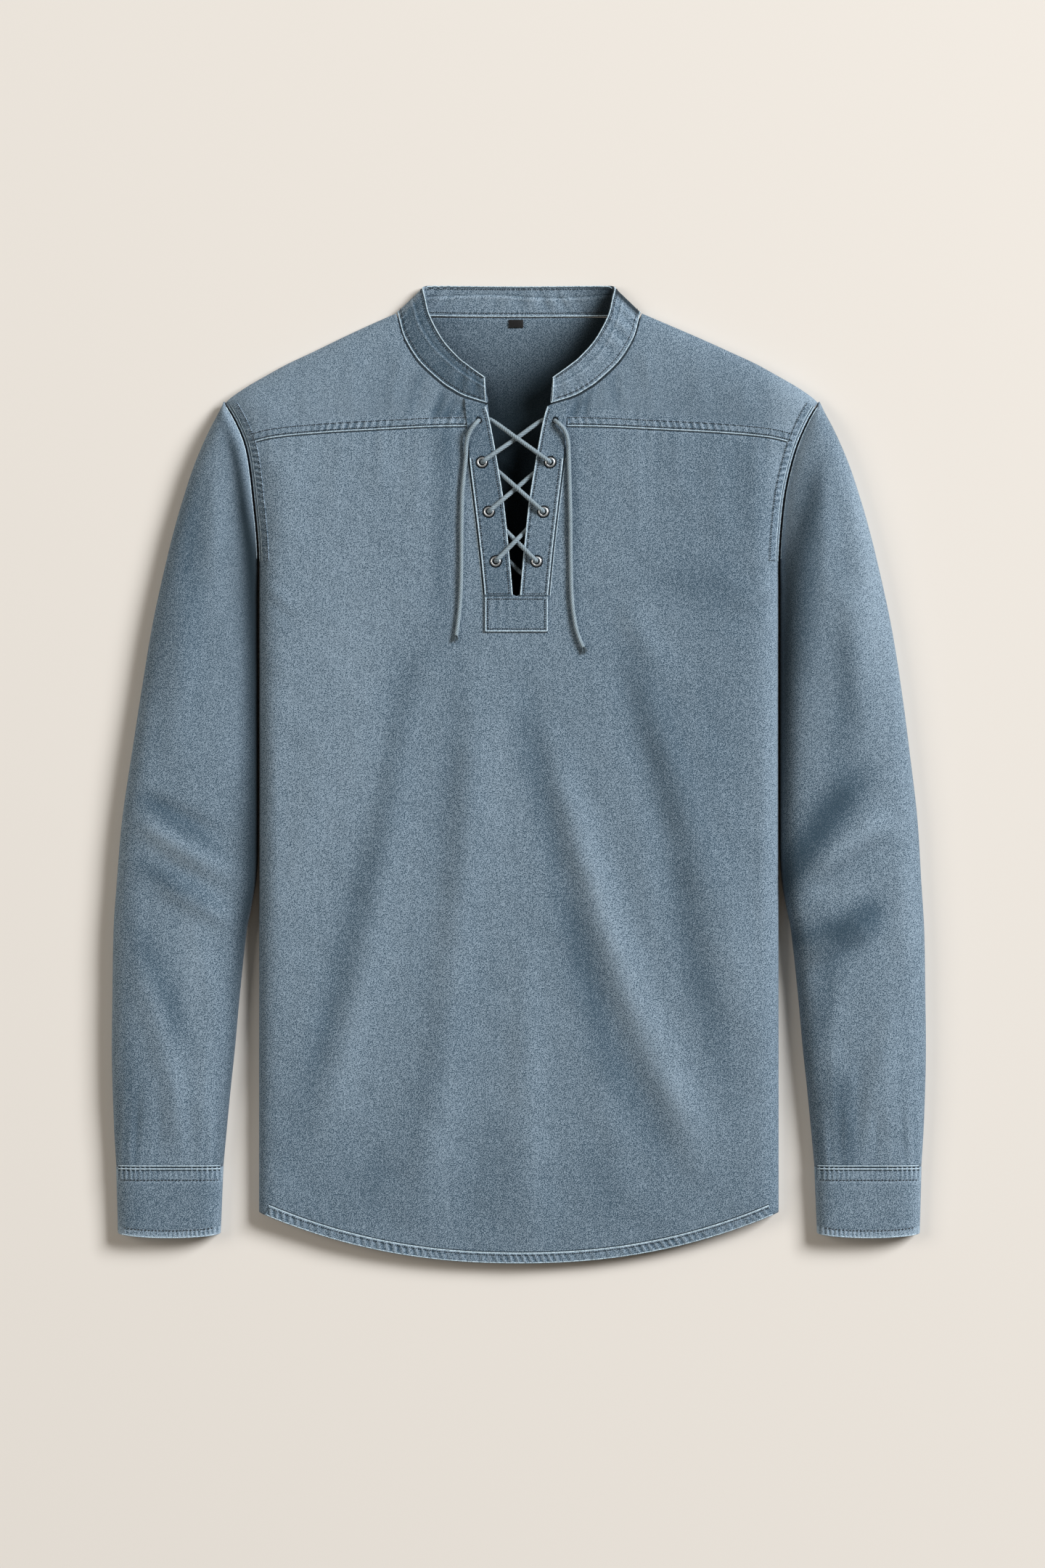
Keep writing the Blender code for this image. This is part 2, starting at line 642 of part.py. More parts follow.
# the lace behind the front, from the foot of one eyelet to the next: x, y, height
LACE_FOOT_LOOP = ((12.5, 166.5, -6.4), (8.0, 161.6, -7.4), (2.5, 160.4, -7.6), (-2.5, 164.4, -7.6),
                  (-7.5, 169.6, -7.6), (-13.0, 172.0, -7.2), (-17.0, 170.8, -6.2))
LACE_ENDS = {
    -1: ((-32.0, 282.0, -2.4), (-32.1, 281.8, 0.6), (-32.9, 280.9, 3.4), (-35.2, 278.4, 5.2),
         (-38.4, 274.2, 5.2), (-40.7, 268.8, 4.2), (-41.9, 261.5, 3.0), (-42.4, 252.3, 2.3),
         (-43.9, 238.0, 2.2), (-45.2, 223.3, 2.2), (-45.7, 203.0, 2.2), (-45.9, 181.5, 2.2),
         (-46.0, 163.0, 2.2), (-46.5, 144.4, 2.2), (-47.4, 131.0, 2.2), (-48.7, 119.5, 2.2),
         (-50.0, 110.2, 2.2)),
    1: ((29.0, 282.0, -2.4), (29.1, 281.8, 0.6), (29.9, 281.0, 3.4), (32.2, 279.0, 5.2),
        (35.4, 275.6, 5.2), (37.9, 270.6, 4.4), (39.3, 264.0, 3.3), (39.7, 256.4, 2.3),
        (40.2, 240.0, 2.2), (40.6, 223.3, 2.2), (41.1, 203.0, 2.2), (41.2, 181.5, 2.2),
        (41.4, 165.0, 2.2), (41.8, 148.5, 2.2), (42.8, 134.0, 2.2), (44.9, 119.5, 2.2),
        (47.6, 109.5, 2.2), (51.2, 100.9, 2.2)),
}


def lace_strand(name):
    """Points of one strand, from inside its eyelet to behind the other strip."""
    side, row, far, edge, crossing, crossing_height = LACE_STRANDS[name]
    x, y, _ = eyelet_centre(side, row)
    eyelet = Vector((x, y))
    run = Vector(far) - eyelet
    ahead = run.normalized()
    points = [(*(eyelet + ahead * away), height) for away, height in LACE_RISE]
    points.append((*(eyelet + run * edge), 3.7))
    points.append((*(eyelet + run * crossing), crossing_height))
    points.append((*far, -3.6))
    return points


def lace_behind(first, second):
    """Points behind a strip, between two places on the lace."""
    start, end = Vector(first[:2]), Vector(second[:2])
    return [(*start.lerp(end, 0.3), -5.2), (*start.lerp(end, 0.7), -6.4)]


def laced_route():
    """The laced stretch, from the wearer's right lace hole to the left one."""
    first, second, third = (lace_strand(name)[::-1] for name in ("first", "second", "third"))
    fourth, fifth, sixth = (lace_strand(name) for name in ("fourth", "fifth", "sixth"))
    start, end = lace_hole(-1), lace_hole(1)
    dive = ((0.0, -2.8), (0.3, -4.6), (1.8, -6.3), (4.4, -6.8))
    route = [(start[0] + away, start[1], height) for away, height in dive]
    route += first + lace_behind(second[0], first[-1])[::-1] + second
    route += lace_behind(third[0], second[-1])[::-1] + third + list(LACE_FOOT_LOOP)
    route += fourth + lace_behind(fourth[-1], fifth[0]) + fifth
    route += lace_behind(fifth[-1], sixth[0]) + sixth
    route += [(end[0] - away, end[1], height) for away, height in reversed(dive)]
    return route


def smooth_run(points, longest):
    """Points of a smooth curve through a route, in millimetres."""
    route = [Vector((x, y, body_height(x, y) + lift)) for x, y, lift in points]
    route = [route[0] * 2 - route[1]] + route + [route[-1] * 2 - route[-2]]
    run = []
    for place in range(1, len(route) - 2):
        before, start, end, after = route[place - 1:place + 3]
        steps = max(1, round((end - start).length / longest))
        for step in range(steps):
            part = step / steps
            leave, arrive = (end - before) * 0.5, (after - start) * 0.5
            run.append(start * (2 * part ** 3 - 3 * part ** 2 + 1) + leave * (part ** 3 - 2 * part ** 2 + part)
                       + end * (3 * part ** 2 - 2 * part ** 3) + arrive * (part ** 3 - part ** 2))
    run.append(route[-2])
    return run


def make_lace(name, points, longest):
    """A run of the round lace as a bevelled curve."""
    data = bpy.data.curves.new(name, "CURVE")
    data.dimensions = "3D"
    data.bevel_depth = LACE / 2 * MM
    data.bevel_resolution = 2
    data.use_fill_caps = True
    run = smooth_run(points, longest)
    spline = data.splines.new("POLY")
    spline.points.add(len(run) - 1)
    for point, place in zip(spline.points, run):
        point.co = (*(place * MM), 1.0)
    return add_object(name, data, LACE_YARN)


clear_scene()
PARTS = collection("lace_up_shirt")
CUTTERS = collection("cutters")
DENIM = finish("washed_denim", (0.155, 0.21, 0.27), 0.85)
PLACKET = finish("placket_denim", (0.16, 0.215, 0.275), 0.85)
METAL = finish("eyelet_metal", (0.42, 0.44, 0.46), 0.35, 1.0)
LACE_YARN = finish("lace_yarn", (0.34, 0.38, 0.41), 0.8)
LABEL = finish("label_black", (0.01, 0.01, 0.012), 0.6)

make_back()
front = make_front()
SIDES = {-1: "right", 1: "left"}
for side, word in SIDES.items():
    yoke = make_yoke(side, f"yoke_{word}")
    make_sleeve(side, f"sleeve_{word}")
    make_cuff(side, f"cuff_{word}")
    strip = make_strip(side, f"placket_{word}")
    for row in range(len(EYELET_ROWS)):
        centre = eyelet_centre(side, row)
        make_eyelet(side, row, f"eyelet_{word}_{row + 1}")
        cut_hole((front, strip), centre, EYELET_HOLE, f"eyelet_hole_{word}_{row + 1}")
    cut_hole((yoke, strip), lace_hole(side), LACE_HOLE_RADIUS, f"lace_hole_{word}")
    make_lace(f"lace_end_{word}", LACE_ENDS[side], 9.0)
make_base()
make_collar()
make_label()
make_lace("lace_crossings", laced_route(), 9.0)
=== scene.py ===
# %% [markdown]
# # A lace-up denim shirt, laid out flat
# This notebook dresses the plain solids of a laid-out shirt. The real thing is light, washed
# indigo denim: a front and a back, two yokes over the shoulders, long sleeves with cuffs, a
# narrow stand collar, and a slit at the neck that is closed by a round lace through eyelets.
# The first cell loads the solids as a fixed frame. Everything after it is made around them.

# %% Load the measured solids
import math

import bmesh
import bpy
import numpy as np
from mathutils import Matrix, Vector


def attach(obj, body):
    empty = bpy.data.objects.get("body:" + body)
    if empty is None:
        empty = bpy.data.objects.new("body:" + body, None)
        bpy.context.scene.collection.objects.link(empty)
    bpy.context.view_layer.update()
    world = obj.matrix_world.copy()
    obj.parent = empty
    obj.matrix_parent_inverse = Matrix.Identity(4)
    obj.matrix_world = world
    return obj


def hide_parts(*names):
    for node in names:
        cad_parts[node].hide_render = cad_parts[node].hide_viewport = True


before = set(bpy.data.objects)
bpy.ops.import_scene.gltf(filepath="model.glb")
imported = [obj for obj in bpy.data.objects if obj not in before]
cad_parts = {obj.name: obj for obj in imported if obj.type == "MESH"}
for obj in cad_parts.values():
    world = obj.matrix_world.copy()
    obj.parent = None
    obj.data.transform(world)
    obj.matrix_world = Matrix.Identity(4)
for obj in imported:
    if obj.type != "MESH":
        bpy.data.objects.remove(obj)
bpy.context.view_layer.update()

MM = 0.001
scene = bpy.context.scene
SIDES = ((-1, "right"), (1, "left"))    # the wearer's right is at -X

# %% [markdown]
# ## The camera
# The shirt was seen from straight above, from far away, so nearly without perspective. A long
# lens, five metres up, does the same. The frame is 1440 by 2160 pixels, and one pixel is
# 0.58 mm on the cloth, which was worked out from the width of such a shirt.

# %% Camera
PHOTO_HEIGHT = 2160
PIXEL = 0.58 * MM                       # one pixel of the picture, on the cloth
CAMERA_HEIGHT = 5.0
CLOTH_LEVEL = 0.016                     # the height where the scale is meant to be true
MIDDLE_OF_PHOTO = (2.9 * MM, -8.1 * MM)
SENSOR = 36.0


def add_object(name, data):
    """Put a mesh, a lamp or a camera into the scene as an object."""
    item = bpy.data.objects.new(name, data)
    scene.collection.objects.link(item)
    return item


camera_data = bpy.data.cameras.new("camera")
camera_data.sensor_fit = "VERTICAL"
camera_data.sensor_height = SENSOR
camera_data.lens = SENSOR * (CAMERA_HEIGHT - CLOTH_LEVEL) / (PHOTO_HEIGHT * PIXEL)
camera = add_object("camera", camera_data)
camera.location = (*MIDDLE_OF_PHOTO, CAMERA_HEIGHT)
scene.camera = camera
print("lens:", round(camera_data.lens, 1), "mm")

# %% [markdown]
# ## Reading a form from short tables
# A garment has few driving sizes: how wide it is at each height, how high the soft air in it
# lifts the cloth, and where its folds run. Each is a short table, in millimetres, and a smooth
# curve is read through its rows. NumPy reads a whole panel of points at once, which is what
# makes fine cloth quick to build.

# %% Smooth curves through tables
def ease(start, end, place):
    """Fraction that goes softly from 0 at start to 1 at end."""
    part = np.clip((place - start) / (end - start), 0.0, 1.0)
    return part * part * (3.0 - 2.0 * part)


def mix(first, second, part):
    """Value the given part of the way from first to second."""
    return first + (second - first) * part


def bell(off, width):
    """A soft bump: 1 where off is 0, and almost nothing at twice the width."""
    return np.exp(-(off / width) ** 2)


def curve_weights(part):
    """Weights of a curve's start, leaving slope, end and arriving slope."""
    return (2 * part ** 3 - 3 * part ** 2 + 1, part ** 3 - 2 * part ** 2 + part,
            3 * part ** 2 - 2 * part ** 3, part ** 3 - part ** 2)


def along(table, place):
    """Read a table of (place, value) rows through a smooth curve."""
    places, values = np.array(table, dtype=float).T
    last = len(places) - 1
    before = np.maximum(np.arange(last + 1) - 1, 0)
    after = np.minimum(np.arange(last + 1) + 1, last)
    slopes = (values[after] - values[before]) / (places[after] - places[before])
    place = np.clip(place, places[0], places[-1])
    row = np.clip(np.searchsorted(places, place, side="right") - 1, 0, last - 1)
    span = places[row + 1] - places[row]
    start, leave, end, arrive = curve_weights((place - places[row]) / span)
    return (start * values[row] + leave * slopes[row] * span
            + end * values[row + 1] + arrive * slopes[row + 1] * span)


def rounding(inside, reach):
    """How far the cloth has come up, at a distance inside an outline it rolls over."""
    part = np.clip(inside / reach, 0.0, 1.0)
    return np.sqrt(np.maximum(0.0, 1.0 - (1.0 - part) ** 3))


# %% [markdown]
# ## The form of the laid-out shirt
# These are the sizes that the solids were made from: the outline, the height of the outer
# cloth, and the large folds. The fan of folds below the placket comes from the way the shirt
# was set down. Keeping the same tables here means that the fine cloth lies on its solid.

# %% Outline and height of body
CHEST_HALF = 208.0        # half the laid-out width under the arms
HEM_BOTTOM, HEM_RISE, HEM_POWER = -391.5, 41.0, 2.2
SIDE_REACH, SHOULDER_REACH = 38.0, 34.0         # how far in the cloth has come up to its height
SHOULDER_START, SHOULDER_SLANT = 200, 0.9       # where the shoulders begin, and how steep they are
ARMPIT = 166.0
LEAN = 2.3                # the shoulders lie this much towards +X
PLACKET_AXIS = -2.0
SIDE_EDGE = ((-400, 208.0), (150, 208.0), (180, 208.4), (214, 211.3), (240, 215.0),
             (263, 220.4), (283, 229.0), (298, 238.0))
SHOULDER_LINE = ((90, 371.8), (98.6, 368.4), (137, 351.6), (168, 337.3), (187, 328.6),
                 (203, 320.0), (219, 311.0), (232, 302.4), (238.6, 296.5))
YOKE_SEAM = ((18, 277.5), (65, 277.0), (107, 275.0), (160, 272.0), (200, 268.0), (221, 262.6))
SLIT_HALF = ((141.5, 2.7), (180, 6.1), (218, 10.2), (257, 16.6), (284, 21.8), (295.5, 25.4))
STRIP_HALF = ((141.5, 25.3), (175, 28.5), (217, 33.4), (250, 37.4), (275, 39.3), (300, 41.5))
CROWN = ((-392, 13.0), (-340, 16.5), (-200, 20.5), (0, 23.0), (150, 24.0), (250, 23.0),
         (300, 21.0), (340, 18.0), (372, 14.0))
EDGE_HEIGHT = ((-400, 6.5), (-340, 7.0), (150, 7.0), (180, 7.5), (214, 9.5), (240, 11.0),
               (270, 12.0), (298, 8.5), (372, 8.0))
# a fan of soft ridges below the placket: x at its head, middle and foot, then the heights
# of head and foot, its half width and how far it stands up
FAN_FOLDS = (
    (-84, -116, -160, 90, -290, 17, 4.0),
    (-36, -49, -79, 90, -345, 17, 3.6),
    (5, 7, 12, -130, -385, 14, 2.6),
    (17, 71, 139, 55, -300, 17, 4.4),
    (80, 139, 172, 112, -200, 18, 3.4),
)
FAN_STARTS, FAN_FADES = (20, -110), (-40, 60)   # from the head down, and from the foot up


def hem_line(x):
    """Height of the hem at a distance from the middle."""
    return HEM_BOTTOM + HEM_RISE * np.clip(np.abs(x) / CHEST_HALF, 0, 1) ** HEM_POWER


def fan_folds(x, y):
    """Height that the fan of folds adds to the front panel."""
    total = 0.0
    for head, middle, foot, top, bottom, width, height in FAN_FOLDS:
        part = np.clip((top - y) / (top - bottom), 0.0, 1.0)
        line = ((1 - part) ** 2 * head + part ** 2 * foot
                + 2 * part * (1 - part) * (2 * middle - 0.5 * (head + foot)))
        strength = (ease(top + FAN_STARTS[0], top + FAN_STARTS[1], y)
                    * ease(bottom + FAN_FADES[0], bottom + FAN_FADES[1], y))
        total = total + height * strength * bell(x - line, width * (0.7 + 0.5 * part))
    return total


def body_height(x, y):
    """Outer face of the front panel and yokes, as in the solids."""
    low = along(EDGE_HEIGHT, y)
    high = along(CROWN, y) + fan_folds(x, y)
    side = rounding(along(SIDE_EDGE, y) - np.abs(x), SIDE_REACH)
    inside = (along(SHOULDER_LINE, np.abs(x)) - y) * SHOULDER_SLANT
    shoulder = np.where(y > SHOULDER_START, rounding(inside, SHOULDER_REACH), 1.0)
    return low + (high - low) * side * shoulder


def lean(x, y):
    """Shift of shoulders and sleeves, as the shirt was laid down."""
    outward = np.maximum(ease(215, 275, y), ease(212, 235, np.abs(x))) * ease(100, 180, np.abs(x))
    return x + LEAN * outward * ease(-120, 100, y)


# %% [markdown]
# ## The lace comes first
# A round cotton lace, 3.4 mm thick, is threaded through six eyelets, and its two ends hang
# from a small hole on each side of the neck. The ends are free, so they are the one part of
# the shirt with a length of its own. Each follows a route of points: out of its
# hole, over the edge of the placket and down the front, resting on the cloth.

# %% Routes of the lace
LACE = 3.4
EYELET_ROWS = ((248.5, 27.2), (209.0, 21.8), (169.4, 16.3))     # height, half spacing
LACE_HOLE = (282.0, 30.5)                                       # the same, for its holes
EYELET_AXIS, HOLE_AXIS = PLACKET_AXIS - 0.2, PLACKET_AXIS + 0.5
LAY_GAP, PLACKET_CLOTH = 0.3, 1.3
# x, y and height over the panel
LACE_ENDS = {
    -1: ((-32.0, 282.0, -2.4), (-32.1, 281.8, 0.6), (-32.9, 280.9, 3.4), (-35.2, 278.4, 5.2),
         (-38.4, 274.2, 5.2), (-40.7, 268.8, 4.2), (-41.9, 261.5, 3.0), (-42.4, 252.3, 2.3),
         (-43.9, 238.0, 2.2), (-45.2, 223.3, 2.2), (-45.7, 203.0, 2.2), (-45.9, 181.5, 2.2),
         (-46.0, 163.0, 2.2), (-46.5, 144.4, 2.2), (-47.4, 131.0, 2.2), (-48.7, 119.5, 2.2),
         (-50.0, 110.2, 2.2)),
    1: ((29.0, 282.0, -2.4), (29.1, 281.8, 0.6), (29.9, 281.0, 3.4), (32.2, 279.0, 5.2),
        (35.4, 275.6, 5.2), (37.9, 270.6, 4.4), (39.3, 264.0, 3.3), (39.7, 256.4, 2.3),
        (40.2, 240.0, 2.2), (40.6, 223.3, 2.2), (41.1, 203.0, 2.2), (41.2, 181.5, 2.2),
        (41.4, 165.0, 2.2), (41.8, 148.5, 2.2), (42.8, 134.0, 2.2), (44.9, 119.5, 2.2),
        (47.6, 109.5, 2.2), (51.2, 100.9, 2.2)),
}
# how the lace leaves an eyelet: distance from its middle, height over the panel
LACE_RISE = ((0.3, -4.6), (0.55, -1.8), (0.6, 0.4), (0.65, 2.3), (1.0, 3.8), (2.4, 4.9),
             (4.4, 5.05), (7.0, 4.4))
# strands: eyelet side and row, where it dips behind the other strip, part of the way to its
# own strip's edge and to the crossing, height at the crossing
LACE_STRANDS = {
    "first": (1, 0, (-22.0, 282.4), 0.24, 0.567, 2.8),
    "second": (-1, 1, (9.3, 237.8), 0.353, 0.663, -1.8),
    "third": (1, 2, (-9.3, 193.1), 0.43, 0.70, -1.8),
    "fourth": (-1, 2, (3.5, 192.0), 0.47, 0.735, 2.8),
    "fifth": (1, 1, (-15.7, 240.7), 0.32, 0.608, 2.8),
    "sixth": (-1, 0, (18.0, 282.0), 0.24, 0.586, -1.8),
}
# the lace behind the front, from the foot of one eyelet to the next: x, y, height
LACE_FOOT_LOOP = ((12.5, 166.5, -6.4), (8.0, 161.6, -7.4), (2.5, 160.4, -7.6), (-2.5, 164.4, -7.6),
                  (-7.5, 169.6, -7.6), (-13.0, 172.0, -7.2), (-17.0, 170.8, -6.2))
# other places behind it: distance from a lace hole, or part of the way between two strands,
# and the height
LACE_DIVE = ((0.0, -2.8), (0.3, -4.6), (1.8, -6.3), (4.4, -6.8))
LACE_BEHIND = ((0.3, -5.2), (0.7, -6.4))
STRAND_LIFT, STRAND_DIP = 3.7, -3.6         # over the edge of its strip, behind the other one


def eyelet_centre(side, row):
    """Middle of an eyelet, on the outer face of its strip."""
    y, half = EYELET_ROWS[row]
    x = EYELET_AXIS + side * half
    return x, y, float(body_height(x, y)) + LAY_GAP + PLACKET_CLOTH


def hole_centre(side):
    """Middle of the plain hole that a lace end comes out of."""
    y, half = LACE_HOLE
    return HOLE_AXIS + side * half, y


def lace_strand(name):
    """Points of one strand, from inside its eyelet to behind the other strip."""
    side, row, far, edge, crossing, crossing_height = LACE_STRANDS[name]
    eyelet = Vector(eyelet_centre(side, row)[:2])
    run = Vector(far) - eyelet
    ahead = run.normalized()
    points = [(*(eyelet + ahead * away), height) for away, height in LACE_RISE]
    points.append((*(eyelet + run * edge), STRAND_LIFT))
    points.append((*(eyelet + run * crossing), crossing_height))
    points.append((*far, STRAND_DIP))
    return points


def lace_behind(first, second):
    """Points behind a strip, between two places on the lace."""
    start, end = Vector(first[:2]), Vector(second[:2])
    return [(*start.lerp(end, part), height) for part, height in LACE_BEHIND]


def laced_route():
    """The laced stretch, from one lace hole to the other."""
    first, second, third = (lace_strand(name)[::-1] for name in ("first", "second", "third"))
    fourth, fifth, sixth = (lace_strand(name) for name in ("fourth", "fifth", "sixth"))
    (start, hole_y), (end, _) = hole_centre(-1), hole_centre(1)
    route = [(start + away, hole_y, height) for away, height in LACE_DIVE]
    route += first + lace_behind(second[0], first[-1])[::-1] + second
    route += lace_behind(third[0], second[-1])[::-1] + third + list(LACE_FOOT_LOOP)
    route += fourth + lace_behind(fourth[-1], fifth[0]) + fifth
    route += lace_behind(fifth[-1], sixth[0]) + sixth
    route += [(end - away, hole_y, height) for away, height in reversed(LACE_DIVE)]
    return route


CURVE_STEPS = 12                            # places between two points of a route


def travelled_along(points):
    """Millimetres travelled along a line of points, up to each of them."""
    return np.concatenate(([0.0], np.cumsum(np.linalg.norm(np.diff(points, axis=0), axis=1))))


def smooth_run(points, spacing):
    """Evenly spaced points of a smooth curve through a route, in millimetres."""
    route = [Vector((x, y, float(body_height(x, y)) + lift)) for x, y, lift in points]
    route = [route[0] * 2 - route[1]] + route + [route[-1] * 2 - route[-2]]
    run = []
    for place in range(1, len(route) - 2):
        before, start, end, after = route[place - 1:place + 3]
        leave, arrive = (end - before) * 0.5, (after - start) * 0.5
        for part in np.arange(CURVE_STEPS) / CURVE_STEPS:
            weights = curve_weights(part)
            run.append(start * weights[0] + leave * weights[1]
                       + end * weights[2] + arrive * weights[3])
    run.append(route[-2])
    run = np.array(run)
    travelled = travelled_along(run)
    places = np.linspace(0, travelled[-1], max(2, int(travelled[-1] / spacing)))
    return np.stack([np.interp(places, travelled, run[:, way]) for way in range(3)], axis=1)


# %% [markdown]
# The lace is laid from five plies, and the twist shows as fine diagonal ridges. A plain tube
# would look like plastic, so each ring of the tube has five soft lobes, and every ring is
# turned a little further than the one before. Each point keeps how near it is to a *crest*,
# which the yarn's colour reads: paler on the crests and darker in the grooves between the
# plies, as painted light and painted shade. The cut ends have frayed: a few short yarns spread
# from each.

# %% Twisted lace
LACE_SIDES = 30
LACE_PLIES = 5
LACE_TWIST = 10.5          # one full turn of the plies, in millimetres of lace
PLY_DEPTH = 0.24
LACE_STEP = 0.55           # from ring to ring of the tube
MERGE_DISTANCE = 0.00001   # in metres; points that are closer become one


def fine_mesh(name, points):
    """A grid mesh from rows of points in millimetres, and each point's row and column."""
    rows, columns = points.shape[:2]
    sheet = bmesh.new()
    bmesh.ops.create_grid(sheet, x_segments=columns - 1, y_segments=rows - 1, size=0.5)
    mesh = bpy.data.meshes.new(name)
    sheet.to_mesh(mesh)
    sheet.free()
    flat = np.empty(len(mesh.vertices) * 3)
    mesh.vertices.foreach_get("co", flat)
    flat = flat.reshape(-1, 3)
    column = np.rint((flat[:, 0] + 0.5) * (columns - 1)).astype(int)
    row = np.rint((flat[:, 1] + 0.5) * (rows - 1)).astype(int)
    mesh.vertices.foreach_set("co", (points[row, column] * MM).ravel())
    return mesh, row, column


def mark_points(mesh, kind, values):
    """Keep one value for each point of a mesh, for its material to read."""
    mesh.attributes.new(kind, "FLOAT", "POINT").data.foreach_set("value", values.astype(float))


def twisted_tube(name, centres, radius):
    """A laid lace along a line of centres, as an object."""
    ahead = np.gradient(centres, axis=0)
    ahead /= np.linalg.norm(ahead, axis=1)[:, None]
    travelled = travelled_along(centres)
    side = np.cross(ahead[0], (0.0, 0.0, 1.0) if abs(ahead[0][2]) < 0.9 else (1.0, 0.0, 0.0))
    rings = np.empty((len(centres), LACE_SIDES + 1, 3))
    crests = np.empty(rings.shape[:2])
    angles = np.linspace(0, 2 * math.pi, LACE_SIDES + 1)
    for place, centre in enumerate(centres):
        side -= ahead[place] * np.dot(side, ahead[place])
        side /= np.linalg.norm(side)
        across = np.cross(ahead[place], side)
        turn = 2 * math.pi * travelled[place] / LACE_TWIST
        crest = np.abs(np.cos(LACE_PLIES / 2 * (angles - turn)))
        crests[place] = crest
        ply = 1.0 - PLY_DEPTH * (1.0 - crest)
        rings[place] = (centre + radius * ply[:, None]
                        * (np.cos(angles)[:, None] * side + np.sin(angles)[:, None] * across))
    mesh, row, column = fine_mesh(name, rings)
    mark_points(mesh, "crest", crests[row, column])
    tube = bmesh.new()
    tube.from_mesh(mesh)
    bmesh.ops.remove_doubles(tube, verts=tube.verts, dist=MERGE_DISTANCE)
    bmesh.ops.holes_fill(tube, edges=[edge for edge in tube.edges if edge.is_boundary], sides=0)
    bmesh.ops.recalc_face_normals(tube, faces=tube.faces)
    tube.to_mesh(mesh)
    tube.free()
    mesh.shade_smooth()
    return add_object(name, mesh)


FRAY_FIBRES, FRAY_LENGTH = 26, 6.5
FRAY_STEPS = ((0.0, 0.26), (0.4, 0.22), (0.75, 0.17), (1.0, 0.06))  # part of the way, thickness
FRAY_CORNERS = (0.5, 2.1, 3.6, 5.2)                                 # angles round a fibre


def frayed_tip(name, centres, seed):
    """Loose fibres that spread from the cut end of a lace, as one object."""
    chance = np.random.default_rng(seed)
    ahead = centres[-1] - centres[-4]
    ahead = ahead / np.linalg.norm(ahead)
    side = np.cross(ahead, (0.0, 0.0, 1.0))
    up = np.array((0.0, 0.0, 1.0))
    corners, faces = [], []
    for fibre in range(FRAY_FIBRES):
        spread, rise = chance.uniform(-1, 1), chance.uniform(-0.8, 0.8)
        reach = FRAY_LENGTH * chance.uniform(0.5, 1.0)
        for part, thin in FRAY_STEPS:
            middle = (centres[-1] + ahead * (reach * part - 0.8)
                      + side * spread * (1.0 + 2.2 * part ** 1.5)
                      + up * (rise * (1.1 - 0.3 * part) - 0.5 * part))
            middle[2] = max(middle[2], float(body_height(middle[0], middle[1])) + LAY_GAP)
            corners += [middle + thin * (math.cos(angle) * side + math.sin(angle) * up)
                        for angle in FRAY_CORNERS]
        for step in range(len(FRAY_STEPS) - 1):
            first = 4 * (len(FRAY_STEPS) * fibre + step)
            faces += [(first + k, first + (k + 1) % 4, first + 4 + (k + 1) % 4, first + 4 + k)
                      for k in range(4)]
    mesh = bpy.data.meshes.new(name)
    mesh.from_pydata([tuple(corner * MM) for corner in corners], [], faces)
    mesh.shade_smooth()
    return add_object(name, mesh)


def on_shirt(item):
    """Fix a piece to the shirt's one body."""
    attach(item, "root")


LACE_PIECES = {}
for side, word in SIDES:
    centres = smooth_run(LACE_ENDS[side], LACE_STEP)
    lace = twisted_tube(f"hanging_lace_{word}", centres, LACE / 2)
    fray = frayed_tip(f"lace_fray_{word}", centres, 11 + side)
    on_shirt(fray)
    LACE_PIECES[fray.name] = fray
    on_shirt(lace)
    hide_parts(f"lace_end_{word}")
    LACE_PIECES[lace.name] = lace

# the laced stretch is pulled tight, which spreads the lace a little
crossing = twisted_tube("laced_crossings", smooth_run(laced_route(), LACE_STEP), LACE * 0.54)
on_shirt(crossing)
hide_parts("lace_crossings")
LACE_PIECES[crossing.name] = crossing

# %% [markdown]
# ## Washed denim
# Light denim is a pale thread crossed with a blue one. From a step away that reads as a fine
# grain: a pale fleck where a yarn comes to the face, and dark gaps between the flecks. Cells
# of a Voronoi texture give both, by their distance and their random value. Faint streaks go
# over it where a warp thread is thicker, and soft clouds from the wash.
# Wear whitens what stands proud: folds, puckers and every sewn edge. Each mesh therefore
# carries values at its points: *thread*, the place on the flat cloth in millimetres, which the
# weave follows round every roll; *wear_and_painted_light*, how much it has been rubbed and washed
# out, and also painted light and painted shade along folds and sides; and, deep in a fold,
# beside the body or inside the neck, *painted_shade*, a painted shadow that takes the colour
# down to near black.

# %% Small helpers for materials
def add_node(tree, kind, links=None, **settings):
    """Add a shader node, set its properties, and link or set its sockets by name."""
    made = tree.nodes.new(kind)
    for name, value in settings.items():
        setattr(made, name, value)
    for name, value in (links or {}).items():
        socket = made.inputs[name]
        if isinstance(value, bpy.types.NodeSocket):
            tree.links.new(value, socket)
        else:
            socket.default_value = value
    return made


def start_material(name, finish):
    """A new material with the values of its finish: the material, its node tree and its shader."""
    material = bpy.data.materials.new(name)
    material.use_nodes = True
    shader = material.node_tree.nodes["Principled BSDF"]
    for socket, value in finish.items():
        shader.inputs[socket].default_value = value
    return material, material.node_tree, shader


def blend(tree, part, first, second):
    """The colour that is the given part of the way from the first colour to the second."""
    return add_node(tree, "ShaderNodeMix", {"Factor": part, 6: first, 7: second},
                    data_type="RGBA", clamp_factor=True).outputs[2]


def scaled(tree, place, scale):
    """A place times a number."""
    return add_node(tree, "ShaderNodeVectorMath", {0: place, "Scale": scale},
                    operation="SCALE").outputs[0]


def object_place(tree):
    """The place on an object, in millimetres."""
    return scaled(tree, add_node(tree, "ShaderNodeTexCoord").outputs["Object"], 1.0 / MM)


def add_bump(tree, shader, height, distance):
    """Let fine relief bend the light, as high as the distance in metres."""
    bump = add_node(tree, "ShaderNodeBump",
                    {"Height": height, "Strength": 0.5, "Distance": distance})
    tree.links.new(bump.outputs["Normal"], shader.inputs["Normal"])


